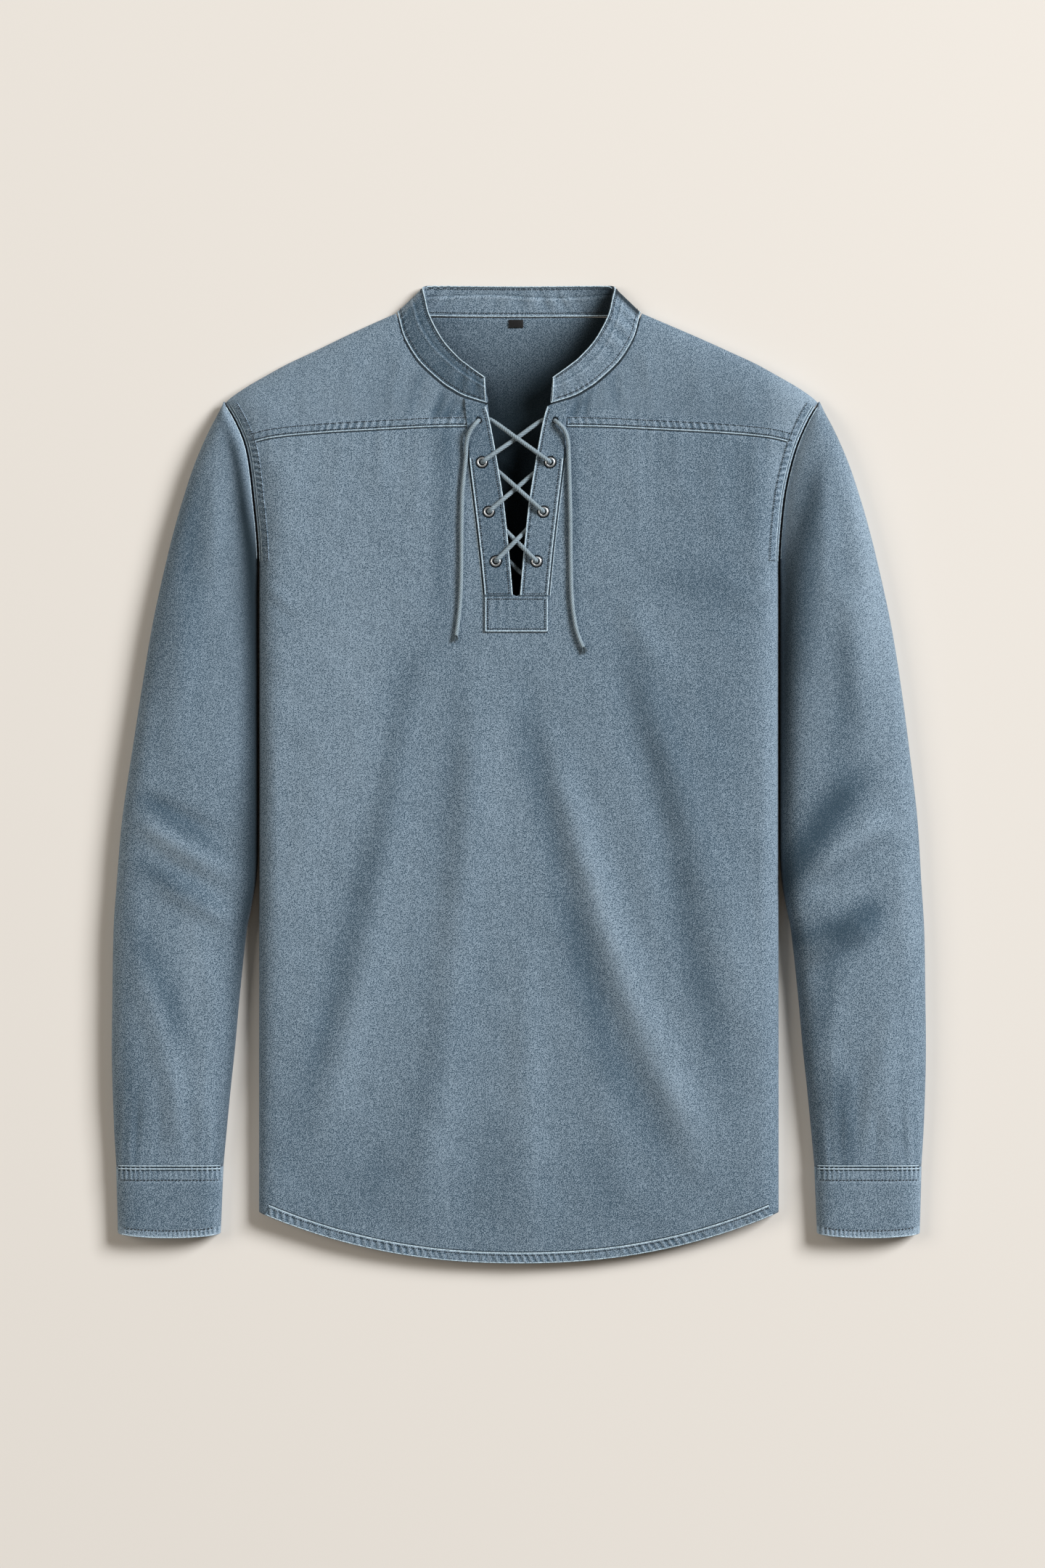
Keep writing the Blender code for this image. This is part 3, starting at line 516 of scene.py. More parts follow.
def stretched_noise(tree, place, stretch, detail=2.0, roughness=0.5):
    """Noise whose grains have a size in millimetres, across, along and through the cloth."""
    grains = [1.0 / size for size in stretch]
    pressed = add_node(tree, "ShaderNodeVectorMath", {0: place, 1: grains}, operation="MULTIPLY")
    noise = add_node(tree, "ShaderNodeTexNoise", {"Vector": pressed.outputs[0], "Scale": 1.0,
                                                  "Detail": detail, "Roughness": roughness})
    return noise.outputs["Fac"]


def yarn_floats(tree, place, size):
    """Cells where a yarn comes to the face: the distance from a cell's middle, and its chance."""
    cells = add_node(tree, "ShaderNodeTexVoronoi",
                     {"Vector": scaled(tree, place, 1.0 / size), "Scale": 1.0},
                     voronoi_dimensions="2D")
    return cells.outputs["Distance"], cells.outputs["Color"]


def weighted(tree, parts, start):
    """Add up sockets, each around its own middle: start + sum of weight * (socket - middle)."""
    total = start
    for socket, weight, middle in parts:
        product = add_node(tree, "ShaderNodeMath", {0: socket, 1: weight, 2: -weight * middle},
                           operation="MULTIPLY_ADD").outputs[0]
        total = add_node(tree, "ShaderNodeMath", {0: product, 1: total}, operation="ADD").outputs[0]
    return total


# %% The denim
YARN_CELL = 0.76                        # where one yarn comes to the face, in millimetres
TWILL_TURN = (6.2, 6.2, 0.0)            # radians of the weave's diagonal to a millimetre
# near-black colour of the painted shade, for shadow deep in folds, beside the body and inside the
# neck
PAINTED_SHADE_COLOUR = (0.004, 0.012, 0.018, 1.0)
DENIM_SHADE = 0.37                      # from deep thread (0) to pale thread (1)
DENIM_FINISH = {"Roughness": 0.88, "Specular IOR Level": 0.18, "Sheen Weight": 0.18,
                "Sheen Roughness": 0.45, "Sheen Tint": (0.75, 0.86, 1.0, 1.0)}


def washed_denim(name, deep, pale, grain=1.0):
    """Washed denim between its two thread colours, darkened to near black where a mesh carries
    painted shade.
    """
    material, tree, shader = start_material(name, DENIM_FINISH)
    place = add_node(tree, "ShaderNodeAttribute", attribute_name="thread").outputs["Vector"]
    # rubbed wear, together with painted light and painted shade on fold flanks and sides
    wear_and_painted_light = add_node(tree, "ShaderNodeAttribute", attribute_name="wear_and_painted_light").outputs["Fac"]
    painted_shade = add_node(tree, "ShaderNodeAttribute", attribute_name="painted_shade").outputs["Fac"]
    hollow, speck = yarn_floats(tree, place, YARN_CELL)
    fuzz = stretched_noise(tree, place, (0.9, 1.0, 1.0))
    warp = stretched_noise(tree, place, (1.7, 46.0, 9.0))
    streak = stretched_noise(tree, place, (6.0, 130.0, 20.0))
    weft = stretched_noise(tree, place, (26.0, 1.5, 9.0))
    cloud = stretched_noise(tree, place, (52.0, 78.0, 50.0))
    diagonal = add_node(tree, "ShaderNodeVectorMath", {0: place, 1: TWILL_TURN},
                        operation="DOT_PRODUCT").outputs["Value"]
    twill = add_node(tree, "ShaderNodeMath", {0: diagonal}, operation="SINE").outputs[0]
    parts = [(hollow, -1.75 * grain, 0.43), (speck, 0.85 * grain, 0.5), (warp, 0.13, 0.5),
             (streak, 0.12, 0.5), (weft, 0.06, 0.5), (cloud, 0.16, 0.5), (wear_and_painted_light, 1.0, 0.0)]
    shade = weighted(tree, parts, DENIM_SHADE)
    washed = blend(tree, shade, (*deep, 1.0), (*pale, 1.0))
    # painted shade: the washed colour is mixed towards near black
    tree.links.new(blend(tree, painted_shade, washed, PAINTED_SHADE_COLOUR), shader.inputs["Base Color"])
    relief = weighted(tree, [(fuzz, 1.0, 0.0), (twill, 0.12, 0.0), (warp, 0.5, 0.0)], 0.0)
    add_bump(tree, shader, relief, 0.4 * MM)
    return material


DENIM = washed_denim("washed_denim", (0.045, 0.085, 0.126), (0.352, 0.455, 0.558))
EDGE_DENIM = washed_denim("rubbed_edge", (0.22, 0.32, 0.40), (0.68, 0.84, 0.95), grain=0.9)
# near-black cloth for the painted shadow lines beside the seams' ridges
PAINTED_SHADOW_DENIM = washed_denim("painted_shadow_denim", (0.008, 0.014, 0.020), (0.045, 0.068, 0.09), grain=0.6)


def plain_yarn(name, deep, pale, size, roughness=0.8):
    """Spun yarn: a colour that varies in fine grains, with a fibre's soft sheen."""
    material, tree, shader = start_material(
        name, {"Roughness": roughness, "Specular IOR Level": 0.25, "Sheen Weight": 0.2})
    fibre = stretched_noise(tree, object_place(tree), (size, size, size), detail=3.0, roughness=0.7)
    crest = add_node(tree, "ShaderNodeAttribute", attribute_name="crest").outputs["Fac"]
    # painted light on the plies' crests and painted shade in the grooves between them
    shade = weighted(tree, [(fibre, 2.2, 0.5), (crest, 0.75, 0.7)], 0.5)
    tree.links.new(blend(tree, shade, (*deep, 1.0), (*pale, 1.0)), shader.inputs["Base Color"])
    add_bump(tree, shader, fibre, 0.3 * MM)
    return material


LACE_YARN = plain_yarn("lace_yarn", (0.085, 0.122, 0.150), (0.46, 0.58, 0.66), 0.5)
# near-black thread: painted shade, for the dark dotted line where the stitches sink in
STITCH_THREAD_PAINTED_SHADE = plain_yarn("stitch_thread_painted_shade", (0.010, 0.018, 0.027), (0.065, 0.095, 0.13), 0.4)
for lace in LACE_PIECES.values():
    lace.data.materials.append(LACE_YARN)
print("materials:", [material.name for material in bpy.data.materials])

# %% [markdown]
# ## Laying fine cloth
# Every panel is a grid of points, put where the form says, then given its thickness by a
# Solidify modifier. Holes for eyelets are punched by dropping the faces inside a circle, once
# the points near its rim have been drawn onto the rim, so that the edge comes out round.

# %% A sheet of cloth from a grid of points
CLOTH = 1.2


def punch(mesh, centre, radius, cell):
    """Punch a round hole, seen from above, through a grid mesh with cells of a size."""
    grid = bmesh.new()
    grid.from_mesh(mesh)
    middle = Vector(centre[:2]) * MM
    doomed = []
    for vert in grid.verts:
        away = vert.co.xy - middle
        if away.length < (radius - 0.55 * cell) * MM:
            doomed.append(vert)
        elif away.length < (radius + 0.45 * cell) * MM:
            vert.co.xy = middle + away.normalized() * radius * MM
    bmesh.ops.delete(grid, geom=doomed, context="VERTS")
    grid.to_mesh(mesh)
    grid.free()


def lay_cloth(name, points, thread, wear_and_painted_light, painted_shade=None, turned=False, tube=False,
              thickness=CLOTH, outward=False, material=DENIM, holes=()):
    """Make a cloth object from rows and columns of points, threads, rubbing with painted light, and
    painted shade.
    """
    points = points.copy()
    points[..., 0] = lean(points[..., 0], points[..., 1])
    mesh, row, column = fine_mesh(name, points)
    if turned:
        mesh.flip_normals()
    flat = np.zeros((len(row), 3))
    flat[:, :2] = thread[row, column]
    mesh.attributes.new("thread", "FLOAT_VECTOR", "POINT").data.foreach_set("vector", flat.ravel())
    for kind, values in (("wear_and_painted_light", wear_and_painted_light), ("painted_shade", painted_shade)):
        if values is not None:
            mark_points(mesh, kind, values[row, column])
    for centre, radius, cell in holes:
        punch(mesh, centre, radius, cell)
    if tube:
        weld = bmesh.new()
        weld.from_mesh(mesh)
        bmesh.ops.remove_doubles(weld, verts=weld.verts, dist=MERGE_DISTANCE)
        weld.to_mesh(mesh)
        weld.free()
    mesh.shade_smooth()
    item = add_object(name, mesh)
    mesh.materials.append(material)
    wall = item.modifiers.new("wall", "SOLIDIFY")
    wall.thickness = thickness * MM
    wall.offset = 1.0 if outward else -1.0
    wall.use_even_offset = False
    return item


def flat_places(points):
    """Thread places of a grid: how far it is over the cloth from its first column and row."""
    across = np.linalg.norm(np.diff(points, axis=1), axis=2)
    down = np.linalg.norm(np.diff(points, axis=0), axis=2)
    way_across = math.copysign(1.0, points[0, 1, 0] - points[0, 0, 0])
    way_down = math.copysign(1.0, points[1, 0, 1] - points[0, 0, 1])
    u = np.concatenate((np.zeros((len(points), 1)), np.cumsum(across, axis=1)), axis=1)
    v = np.concatenate((np.zeros((1, points.shape[1])), np.cumsum(down, axis=0)), axis=0)
    return np.stack([points[:, :1, 0] + way_across * u, points[:1, :, 1] + way_down * v], axis=2)


# %% [markdown]
# ## Creases
# The solids hold only the largest folds. The cloth also hangs in soft ripples from the yoke
# seams, pulls at the armpits and crumples where the collar was gathered. Each such crease is
# one row: where it starts and ends, how wide it is, and how far it stands up or sinks in. No
# two are alike, as in real cloth. A slow unevenness of a quarter of a millimetre goes over
# all, and short ripples stand beside the seams. The wash followed the folds, so strokes of the
# same kind also say where it took more of the blue out of the cloth, and where less; many of
# them are also painted light and painted shade, paler on the flanks that face the lamp and
# darker on those that face away.

# %% Fine creases of the body
# x and y of its start, x and y of its end, half width, height (less than 0 is a trough)
BODY_CREASES = (
    (-177, 268, -182, 176, 9, 0.9), (-142, 271, -150, 190, 8, 0.7), (-107, 273, -112, 215, 8, 0.8),
    (-76, 275, -84, 190, 9, 0.7), (-58, 276, -64, 236, 5, 0.5), (61, 276, 66, 225, 6, 0.6),
    (90, 274, 96, 196, 9, 0.8), (125, 272, 131, 214, 8, 0.7), (157, 270, 160, 180, 9, 0.8),
    (189, 266, 192, 150, 9, 1.0), (-192, 262, -190, 170, 7, 0.8), (205, 153, 168, 126, 6, 1.5),
    (204, 144, 162, 108, 7, -1.1), (200, 168, 172, 152, 5, -0.6), (-202, 150, -176, 128, 6, 0.8),
    (-203, 142, -172, 112, 7, -0.6), (84, 140, 118, 70, 11, 1.6), (132, 60, 172, -60, 14, 1.2),
    (-120, 60, -150, -80, 16, 1.0), (-20, 60, -24, -120, 14, 0.9), (46, -40, 96, -210, 13, 0.9),
    (-70, -150, -98, -330, 13, 0.9), (60, -230, 92, -350, 12, 1.0), (-6, -250, -10, -388, 10, 0.7),
    (-30, -270, -44, -388, 9, -0.6), (118, -210, 150, -330, 13, 1.0),
    (-160, -160, -186, -320, 12, 0.9), (168, -60, 188, -240, 12, 1.0),
    (-196, 60, -194, -160, 7, 0.8), (197, 40, 195, -180, 6, 0.7), (-58, 308, -72, 274, 3.0, -1.2),
    (-50, 302, -62, 274, 2.8, -1.0), (-45, 297, -51, 276, 2.4, -0.9),
    (49, 303, 40, 276, 3.0, -1.2), (57, 309, 50, 276, 2.8, -1.0), (64, 314, 60, 290, 2.4, -0.6),
    (-75, 318, -84, 284, 3.2, -0.7), (-92, 338, -104, 290, 5.0, 0.7),
    (76, 324, 80, 286, 3.4, -0.6), (100, 340, 108, 292, 6.0, 0.8),
    (-130, 335, -138, 288, 8.0, 0.6), (140, 332, 146, 286, 8.0, 0.6),
    (-168, 322, -172, 286, 7.0, 0.5), (176, 316, 180, 284, 7.0, 0.5),
    (-41, 276, -48, 200, 3.0, -0.8), (38, 276, 44, 190, 3.0, -0.8),
    (-84, 110, -116, -80, 15, -1.7), (-108, -50, -180, -310, 16, -2.2),
    (-46, 60, -90, -340, 15, -1.2), (4, 90, 52, -170, 13, -1.3), (50, -140, 132, -330, 14, -1.6),
    (74, 140, 146, -200, 15, -1.7), (-150, 60, -186, -140, 14, 1.2), (96, -10, 110, -130, 12, 1.0),
)


def creases(rows, x, y):
    """Height that hand-placed creases add."""
    total = np.zeros_like(x)
    for x0, y0, x1, y1, width, height in rows:
        run_x, run_y = x1 - x0, y1 - y0
        part = ((x - x0) * run_x + (y - y0) * run_y) / (run_x ** 2 + run_y ** 2)
        held = np.clip(part, 0.0, 1.0)
        off = np.hypot(x - x0 - run_x * held, y - y0 - run_y * held)
        strength = ease(-0.1, 0.25, part) * ease(1.15, 0.55, part)
        total += height * strength * bell(off, width)
    return total


# slow waves in the cloth: direction, length and shift, then how high each is
UNEVEN_WAVES = ((0.3, 61.0, 0.4), (1.1, 43.0, 2.1), (2.0, 53.0, 4.4), (2.7, 34.0, 1.3),
                (0.8, 27.0, 5.2), (1.7, 88.0, 3.3))
UNEVEN_HEIGHT = 0.08


def unevenness(x, y):
    """Slow waves of a quarter of a millimetre, in directions and lengths that don't repeat."""
    total = 0.0
    for angle, length, shift in UNEVEN_WAVES:
        place = x * math.cos(angle) + y * math.sin(angle)
        total = total + np.sin(place * 2 * math.pi / length + shift)
    return UNEVEN_HEIGHT * total


def pucker(place, seed, pitch):
    """Uneven ripples along a seam, from -1 to 1, for a place in millimetres."""
    drift = 1.9 * np.sin(place / 31.0 + seed) + 1.1 * np.sin(place / 12.7 + 2.3 * seed)
    wave = np.sin(2 * math.pi * place / pitch + drift)
    swell = 0.62 + 0.38 * np.sin(place / 17.0 + 3.1 * seed)
    return wave * swell


def hanging_ripples(x, y):
    """Short ripples, from -1 to 1, beside the yoke seams, above the hem and along the armholes."""
    below = along(YOKE_SEAM, np.abs(x)) - y
    at_yoke = np.exp(-np.where(below > 0, below / 24.0, -below / 11.0)) * ease(36, 46, np.abs(x))
    at_hem = np.exp(-np.maximum(y - hem_line(x), 0.0) / 16.0)
    at_arm = np.exp(-np.maximum(along(SIDE_EDGE, y) - np.abs(x), 0.0) / 9.0) * ease(150, 172, y)
    return (at_yoke * pucker(x, 2.6, 10.5) + at_hem * pucker(x + 0.25 * y, 5.1, 9.5)
            + 0.8 * at_arm * pucker(y, 0.9, 9.0))


TIGHT_REACH, TIGHT_HEIGHT = 24.0, 12.0      # the fine cloth's roll over its side
RIPPLE_HEIGHT = 0.26


def body_cloth(x, y):
    """Outer face of the front's and yokes' fine cloth, which rolls over its sides more tightly."""
    inside = along(SIDE_EDGE, y) - np.abs(x)
    tighter = rounding(inside, TIGHT_REACH) - rounding(inside, SIDE_REACH)
    tighter = tighter * TIGHT_HEIGHT * ease(215, 160, y)
    return (body_height(x, y) + tighter + creases(BODY_CREASES, x, y) + unevenness(x, y)
            + RIPPLE_HEIGHT * hanging_ripples(x, y) * ease(0.0, 6.0, inside))


# where the wash took more of the blue, and where less, with painted light and painted shade
# on fold flanks that face towards or away from the lamp: x and y of its start, x and y of its
# end, half width, amount
BODY_WASH_AND_PAINTED_LIGHT = (
    (-84, 110, -112, -80, 14, -0.20), (-104, -20, -180, -305, 14, -0.28),
    (-38, 80, -46, -150, 14, -0.10), (-46, -150, -92, -330, 17, -0.16),
    (2, 80, 40, -110, 13, -0.10), (36, -90, 70, -225, 14, -0.20), (66, -215, 128, -320, 15, -0.15),
    (92, 130, 142, -40, 14, -0.06), (138, -30, 165, -225, 16, -0.08),
    (-58, 308, -72, 276, 3.2, -0.36), (-50, 302, -62, 276, 3.0, -0.30),
    (-64, 308, -78, 276, 2.4, 0.12), (-45, 297, -51, 277, 2.6, -0.30),
    (49, 303, 40, 277, 3.0, -0.36), (57, 309, 50, 277, 2.8, -0.28),
    (-78, 324, -90, 280, 4.0, -0.26), (-100, 345, -112, 280, 7.0, -0.10),
    (74, 322, 79, 288, 3.2, -0.20), (-62, 300, -56, 240, 13, -0.15), (60, 280, 66, 200, 10, -0.07),
    (130, -160, 150, -240, 9, -0.04), (46, -50, 112, -250, 8, 0.10),
    (-86, -60, -100, -200, 7, 0.05), (100, 160, 196, 140, 16, -0.14),
    (180, 268, 196, 175, 14, -0.10), (-12, -260, -16, -360, 18, -0.06),
    (-108, -300, -122, -360, 10, -0.10), (60, -290, 76, -360, 12, -0.10),
    (-58, 300, -64, 90, 8, -0.24), (-44, 110, -67, -90, 10, -0.10), (2, 50, 38, -113, 10, -0.12),
    (38, -100, 88, -270, 11, -0.14), (86, 106, 140, -90, 12, -0.22),
    (112, 80, 166, -130, 11, -0.12), (125, -60, 142, -180, 11, -0.20),
    (140, -140, 176, -275, 11, -0.20), (150, 80, 160, -60, 16, -0.10),
    (52, -180, 72, -260, 11, -0.10), (-60, -290, -62, -370, 9, 0.10),
    (-150, 120, -120, 40, 20, 0.05), (170, 310, 172, 80, 34, -0.06),
    (200, 325, 208, 240, 14, -0.08), (-130, 140, -132, 50, 14, 0.05),
    (-16, 100, -10, -260, 8, 0.06), (122, -230, 132, -285, 8, 0.12),
    (-190, -325, 150, -345, 30, -0.06), (44, 280, 47, 110, 5, -0.14),
    (-110, 320, -110, 250, 26, -0.05),
)
# paler and darker from side to side; the rise at the side nearest the lamp is painted light
WASH_AND_PAINTED_LIGHT_ACROSS = ((-208, 0.05), (-186, 0.09), (-120, 0.07), (-60, 0.02), (-10, 0.0), (50, -0.02),
               (110, -0.03), (170, -0.07), (188, -0.02), (199, 0.10), (208, 0.28))


def body_wear_and_painted_light(x, y):
    """How washed out the body's cloth is, with painted light and painted shade: along its folds,
    from side to side, and painted light along the armholes.
    """
    rubbed = np.clip(0.03 * fan_folds(x, y) + 0.03 * creases(BODY_CREASES, x, y), -0.08, 0.2)
    across = along(WASH_AND_PAINTED_LIGHT_ACROSS, x) * ease(-330, 40, y) * ease(400, 300, y)
    return (rubbed + creases(BODY_WASH_AND_PAINTED_LIGHT, x, y) + across - 0.05 * ease(-230, -360, y)
            + 0.11 * hanging_ripples(x, y)
            # painted light along the armhole edge, against the shade of the valley beside it
            + 0.22 * bell(along(SIDE_EDGE, y) - np.abs(x), 5.0) * ease(165, 190, y))


# %% [markdown]
# ## The front panel
# The front is one piece of cloth from the yoke seams to the shirt-tail hem. It is slit at the
# top for the placket, and its sides roll under to meet the back. It is made as two halves that
# meet in the middle, below the slit. More columns go near the side, where it turns most.

# %% Front panel
SEAM_GAP, STRIP_WRAP = 0.4, 0.6
# how the side rolls under: distance in from the outline, height
SIDE_UNDER = ((0.3, 5.2), (0.9, 3.5), (2.0, 1.95), (3.5, 0.9), (5.2, 0.25), (8.0, 0.0), (13.0, 0.0))
ARMHOLE_TURN = 0.29         # step of the edge that is turned in at the armhole
FRONT_COLUMNS = 88
SLIT_UP = 0.7975            # part of the way up where the slit begins
EYELET_CUT, EYELET_CELL = 5.6, 2.0      # hole in the front below an eyelet, size of its cells
FRONT_UPS = np.concatenate((np.linspace(0, SLIT_UP, 180), np.linspace(SLIT_UP + 0.0025, 1.0, 48)))


def front_points(side):
    """Rows and columns of points of one half of the front."""
    out = 1.0 - (1.0 - np.linspace(0, 1, FRONT_COLUMNS)) ** 1.3
    t, up = np.meshgrid(out, FRONT_UPS)
    slit = up > SLIT_UP + 0.001
    x = side * CHEST_HALF * t
    for _ in range(4):      # x and y depend on each other, and settle in a few rounds
        y = mix(hem_line(x), along(YOKE_SEAM, np.abs(x)) - SEAM_GAP, up)
        start = PLACKET_AXIS + np.where(slit, side * (along(SLIT_HALF, y) + STRIP_WRAP), 0.0)
        x = mix(start, side * along(SIDE_EDGE, y), t)
    z = body_cloth(x, y)
    columns = [np.stack([x, y, z], axis=2)]
    edge_y = y[:, -1]
    below_arm = ease(ARMPIT + 19, ARMPIT - 16, edge_y)
    for under, (inset, height) in enumerate(SIDE_UNDER):
        turned_down = along(EDGE_HEIGHT, edge_y) - ARMHOLE_TURN * (under + 1)
        edge_x = along(SIDE_EDGE, edge_y) - mix(ARMHOLE_TURN * 0.5 * (under + 1), inset, below_arm)
        edge_z = mix(turned_down, height, below_arm)
        columns.append(np.stack([side * edge_x, edge_y, edge_z], axis=1)[:, None])
    return np.concatenate(columns, axis=1)


SEWN_ON = {}               # bands, ridges and stitches on each piece of cloth


def finish_piece(piece, slot_name, node, **cut):
    """Fix a piece to the shirt, hide the solid it stands for, and start its list of sewn-on pieces
    if a cut is given; the name of its finish is not used, and the facts of its cut are not kept.
    """
    on_shirt(piece)
    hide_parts(node)
    if cut:
        SEWN_ON[piece.name] = []


FRONT_HALVES = []
for side in (-1, 1):
    points = front_points(side)
    holes = [(eyelet_centre(side, row), EYELET_CUT, EYELET_CELL)
             for row in range(len(EYELET_ROWS))]
    half = lay_cloth(f"front_half_{side}", points, flat_places(points),
                     body_wear_and_painted_light(points[..., 0], points[..., 1]), turned=side < 0, holes=holes)
    FRONT_HALVES.append(half)

joined = bmesh.new()
for half in FRONT_HALVES:
    joined.from_mesh(half.data)
bmesh.ops.remove_doubles(joined, verts=joined.verts, dist=2 * MERGE_DISTANCE)
front = FRONT_HALVES[0]
front.name = front.data.name = "front_panel"
joined.to_mesh(front.data)
joined.free()
bpy.data.objects.remove(FRONT_HALVES[1], do_unlink=True)
finish_piece(front, "denim", "front", flat=(0.442, 0.670), held="laid", area=0.285,
             rests_on=["back_panel"])
print("front:", len(front.data.polygons), "faces")

# %% [markdown]
# ## The back panel
# The back lies flat on the surface, so its underside is plain. Only its inside shows, through
# the neck. It is filled in from its outline with a grid that is squeezed between a left and a
# right edge, row by row, which keeps the threads running straight up the cloth. Its colour has
# painted shade, darkest down in the slit and beside the collar's far side, where the front and
# the collar shade it most.

# %% Back panel
BACK_HEM_SHORTER = 6.0
BACK_SIDE_INSET = 13.4
BACK_TOP = 365.6
BACK_UPS = np.concatenate((np.linspace(0, 0.86, 130), np.linspace(0.865, 1.0, 30)))
BACK_SHOULDER = ((285.0, 229.6), (290.0, 218.7), (296.0, 207.5), (303.0, 198.0), (316.0, 176.0),
                 (330.0, 147.0), (345.0, 117.0), (358.0, 94.5), (365.6, 89.0))


def back_side(y):
    """Half width of the back panel at each height."""
    inset = mix(0.8, BACK_SIDE_INSET, ease(ARMPIT + 34, ARMPIT - 1, y))
    side = along(SIDE_EDGE, y) - inset
    shoulder = np.interp(y, *zip(*BACK_SHOULDER))
    return np.where(y > BACK_SHOULDER[0][0], shoulder, side)


across, up = np.meshgrid(np.linspace(-1, 1, 90), BACK_UPS)
x = across * (CHEST_HALF - BACK_SIDE_INSET)
for _ in range(5):
    y = mix(hem_line(x) + BACK_HEM_SHORTER, BACK_TOP, up)
    x = across * back_side(y)
back_points = np.stack([x, y, np.full_like(x, CLOTH)], axis=2)
# at each height: how much painted shade the inside gets, how far the collar's painted shadow
# reaches, and where the collar's inner side is
NECK_PAINTED_SHADE = ((280, 0.94), (300, 0.72), (316, 0.45), (330, 0.42), (345, 0.30), (360, 0.22),
                (366, 0.18))
COLLAR_SHADE = ((280, 40.0), (345, 38.0), (366, 26.0), (392, 22.0))
COLLAR_INSIDE = ((280, 19.0), (316, 27.0), (323, 37.0), (332.6, 48.5), (346.6, 60.8), (366, 71.2),
                 (392, 77.0))


def painted_collar_shadow(x, y):
    """Painted shadow of the collar on the inside of the neck: most at the wearer's left."""
    to_left = np.maximum(along(COLLAR_INSIDE, y) - x, 0.0)
    to_right = np.maximum(along(COLLAR_INSIDE, y) + x, 0.0)
    return 0.97 * bell(to_left, along(COLLAR_SHADE, y)) + 0.4 * bell(to_right, 4.0)


# painted shade inside the neck, from how little of the light gets in
open_to_light = (1 - along(NECK_PAINTED_SHADE, y)) * (1 - painted_collar_shadow(x, y))
back_painted_shade = np.clip(1 - open_to_light, 0, 0.955)
back = lay_cloth("back_panel", back_points, back_points[..., :2], np.full_like(x, -0.05),
                 back_painted_shade)
finish_piece(back, "denim", "back", flat=(0.390, 0.751), held="laid", area=0.262,
             rests_on=["surface"])
print("back:", len(back.data.polygons), "faces")

# %% [markdown]
# ## The yokes
# Each yoke is the upper front of one side, from the yoke seam over the shoulder. Its four
# edges are all curved, so its points come from a Coons patch: a blend of the two pairs of
# edges, less the flat patch between the corners. At the shoulder it rolls down to the back.

# %% Yokes
YOKE_TIP = (236.8, 296.2)
YOKE_FOOT = 277.5
YOKE_CORNER = (220.3, 262.6)
NECKLINE = ((25.0, 294.8), (43.3, 300.3), (63.0, 311.9), (80.2, 328.3), (91.8, 346.6),
            (98.4, 368.2))
# how the shoulder rolls down to the back: distance in, height
SHOULDER_UNDER = ((0.3, 5.2), (0.9, 3.5), (2.0, 1.95), (3.5, 0.9), (5.2, 0.25), (8.0, 0.0),
                  (12.0, 0.0))
NECK_TURN = 0.18           # part of the way up where the edge leaves the slit for the neckline
YOKE_COLUMNS, YOKE_ROWS = 136, 70
LACE_HOLE_RADIUS = 2.6


def neckline(part):
    """Place on the neckline, from the slit (0) to the shoulder (1)."""
    place = np.clip(part, 0, 1) * (len(NECKLINE) - 1)
    return (along([(row, point[0]) for row, point in enumerate(NECKLINE)], place),
            along([(row, point[1]) for row, point in enumerate(NECKLINE)], place))


def yoke_points(side):
    """Rows and columns of points of one yoke."""
    u, v = np.meshgrid(np.linspace(0, 1, YOKE_COLUMNS),
                       1 - (1 - np.linspace(0, 1, YOKE_ROWS)) ** 1.25)
    foot_x = side * PLACKET_AXIS + along(SLIT_HALF, YOKE_FOOT) + STRIP_WRAP
    beside_slit = v / NECK_TURN
    neck_x, neck_y = neckline((v - NECK_TURN) / (1 - NECK_TURN))
    neck_x = np.where(v < NECK_TURN, mix(foot_x, NECKLINE[0][0], beside_slit), neck_x)
    neck_y = np.where(v < NECK_TURN, mix(YOKE_FOOT, NECKLINE[0][1], beside_slit), neck_y)
    arm_y = mix(YOKE_CORNER[1], YOKE_TIP[1], v)
    arm_x = along(SIDE_EDGE, arm_y)
    seam_x = mix(foot_x, YOKE_CORNER[0], u)
    seam_y = along(YOKE_SEAM, seam_x)
    top_x = mix(NECKLINE[-1][0], YOKE_TIP[0], u)
    top_y = along(SHOULDER_LINE, top_x) - 1.3 * u * u
    foot = (foot_x, YOKE_FOOT)
    flat = [mix(mix(foot[way], YOKE_CORNER[way], u), mix(NECKLINE[-1][way], YOKE_TIP[way], u), v)
            for way in (0, 1)]
    x = mix(neck_x, arm_x, u) + mix(seam_x, top_x, v) - flat[0]
    y = mix(neck_y, arm_y, u) + mix(seam_y, top_y, v) - flat[1]
    rows = [np.stack([side * x, y, body_cloth(side * x, y)], axis=2)]
    edge = u[-1] ** 2
    for inset, height in SHOULDER_UNDER:
        under_x = side * (x[-1] - inset * mix(0.45, 0.60, edge))
        under_y = y[-1] - inset * mix(0.89, 0.80, edge)
        rows.append(np.stack([under_x, under_y, np.full_like(edge, height)], axis=1)[None])
    return np.concatenate(rows)


for side, word in SIDES:
    points = yoke_points(side)
    yoke = lay_cloth(f"yoke_{word}_cloth", points, flat_places(points),
                     body_wear_and_painted_light(points[..., 0], points[..., 1]), turned=side < 0,
                     holes=[(hole_centre(side), LACE_HOLE_RADIUS, 1.2)])
    finish_piece(yoke, "denim", f"yoke_{word}", flat=(0.212, 0.118), held="laid", area=0.0170,
                 rests_on=["back_panel"])
    print(yoke.name, len(yoke.data.polygons), "faces")

# %% [markdown]
# ## The sleeves
# A sleeve is a tube that starts at the slanted armhole and ends at the cuff. Its rings lean
# at the top, where the armhole is long, and level out on the way down. Where it meets the
# body, its inner edge is tucked low, so that a deep valley lies between sleeve and body. The
# elbow's folds run across it, the folds from the shoulder along it.

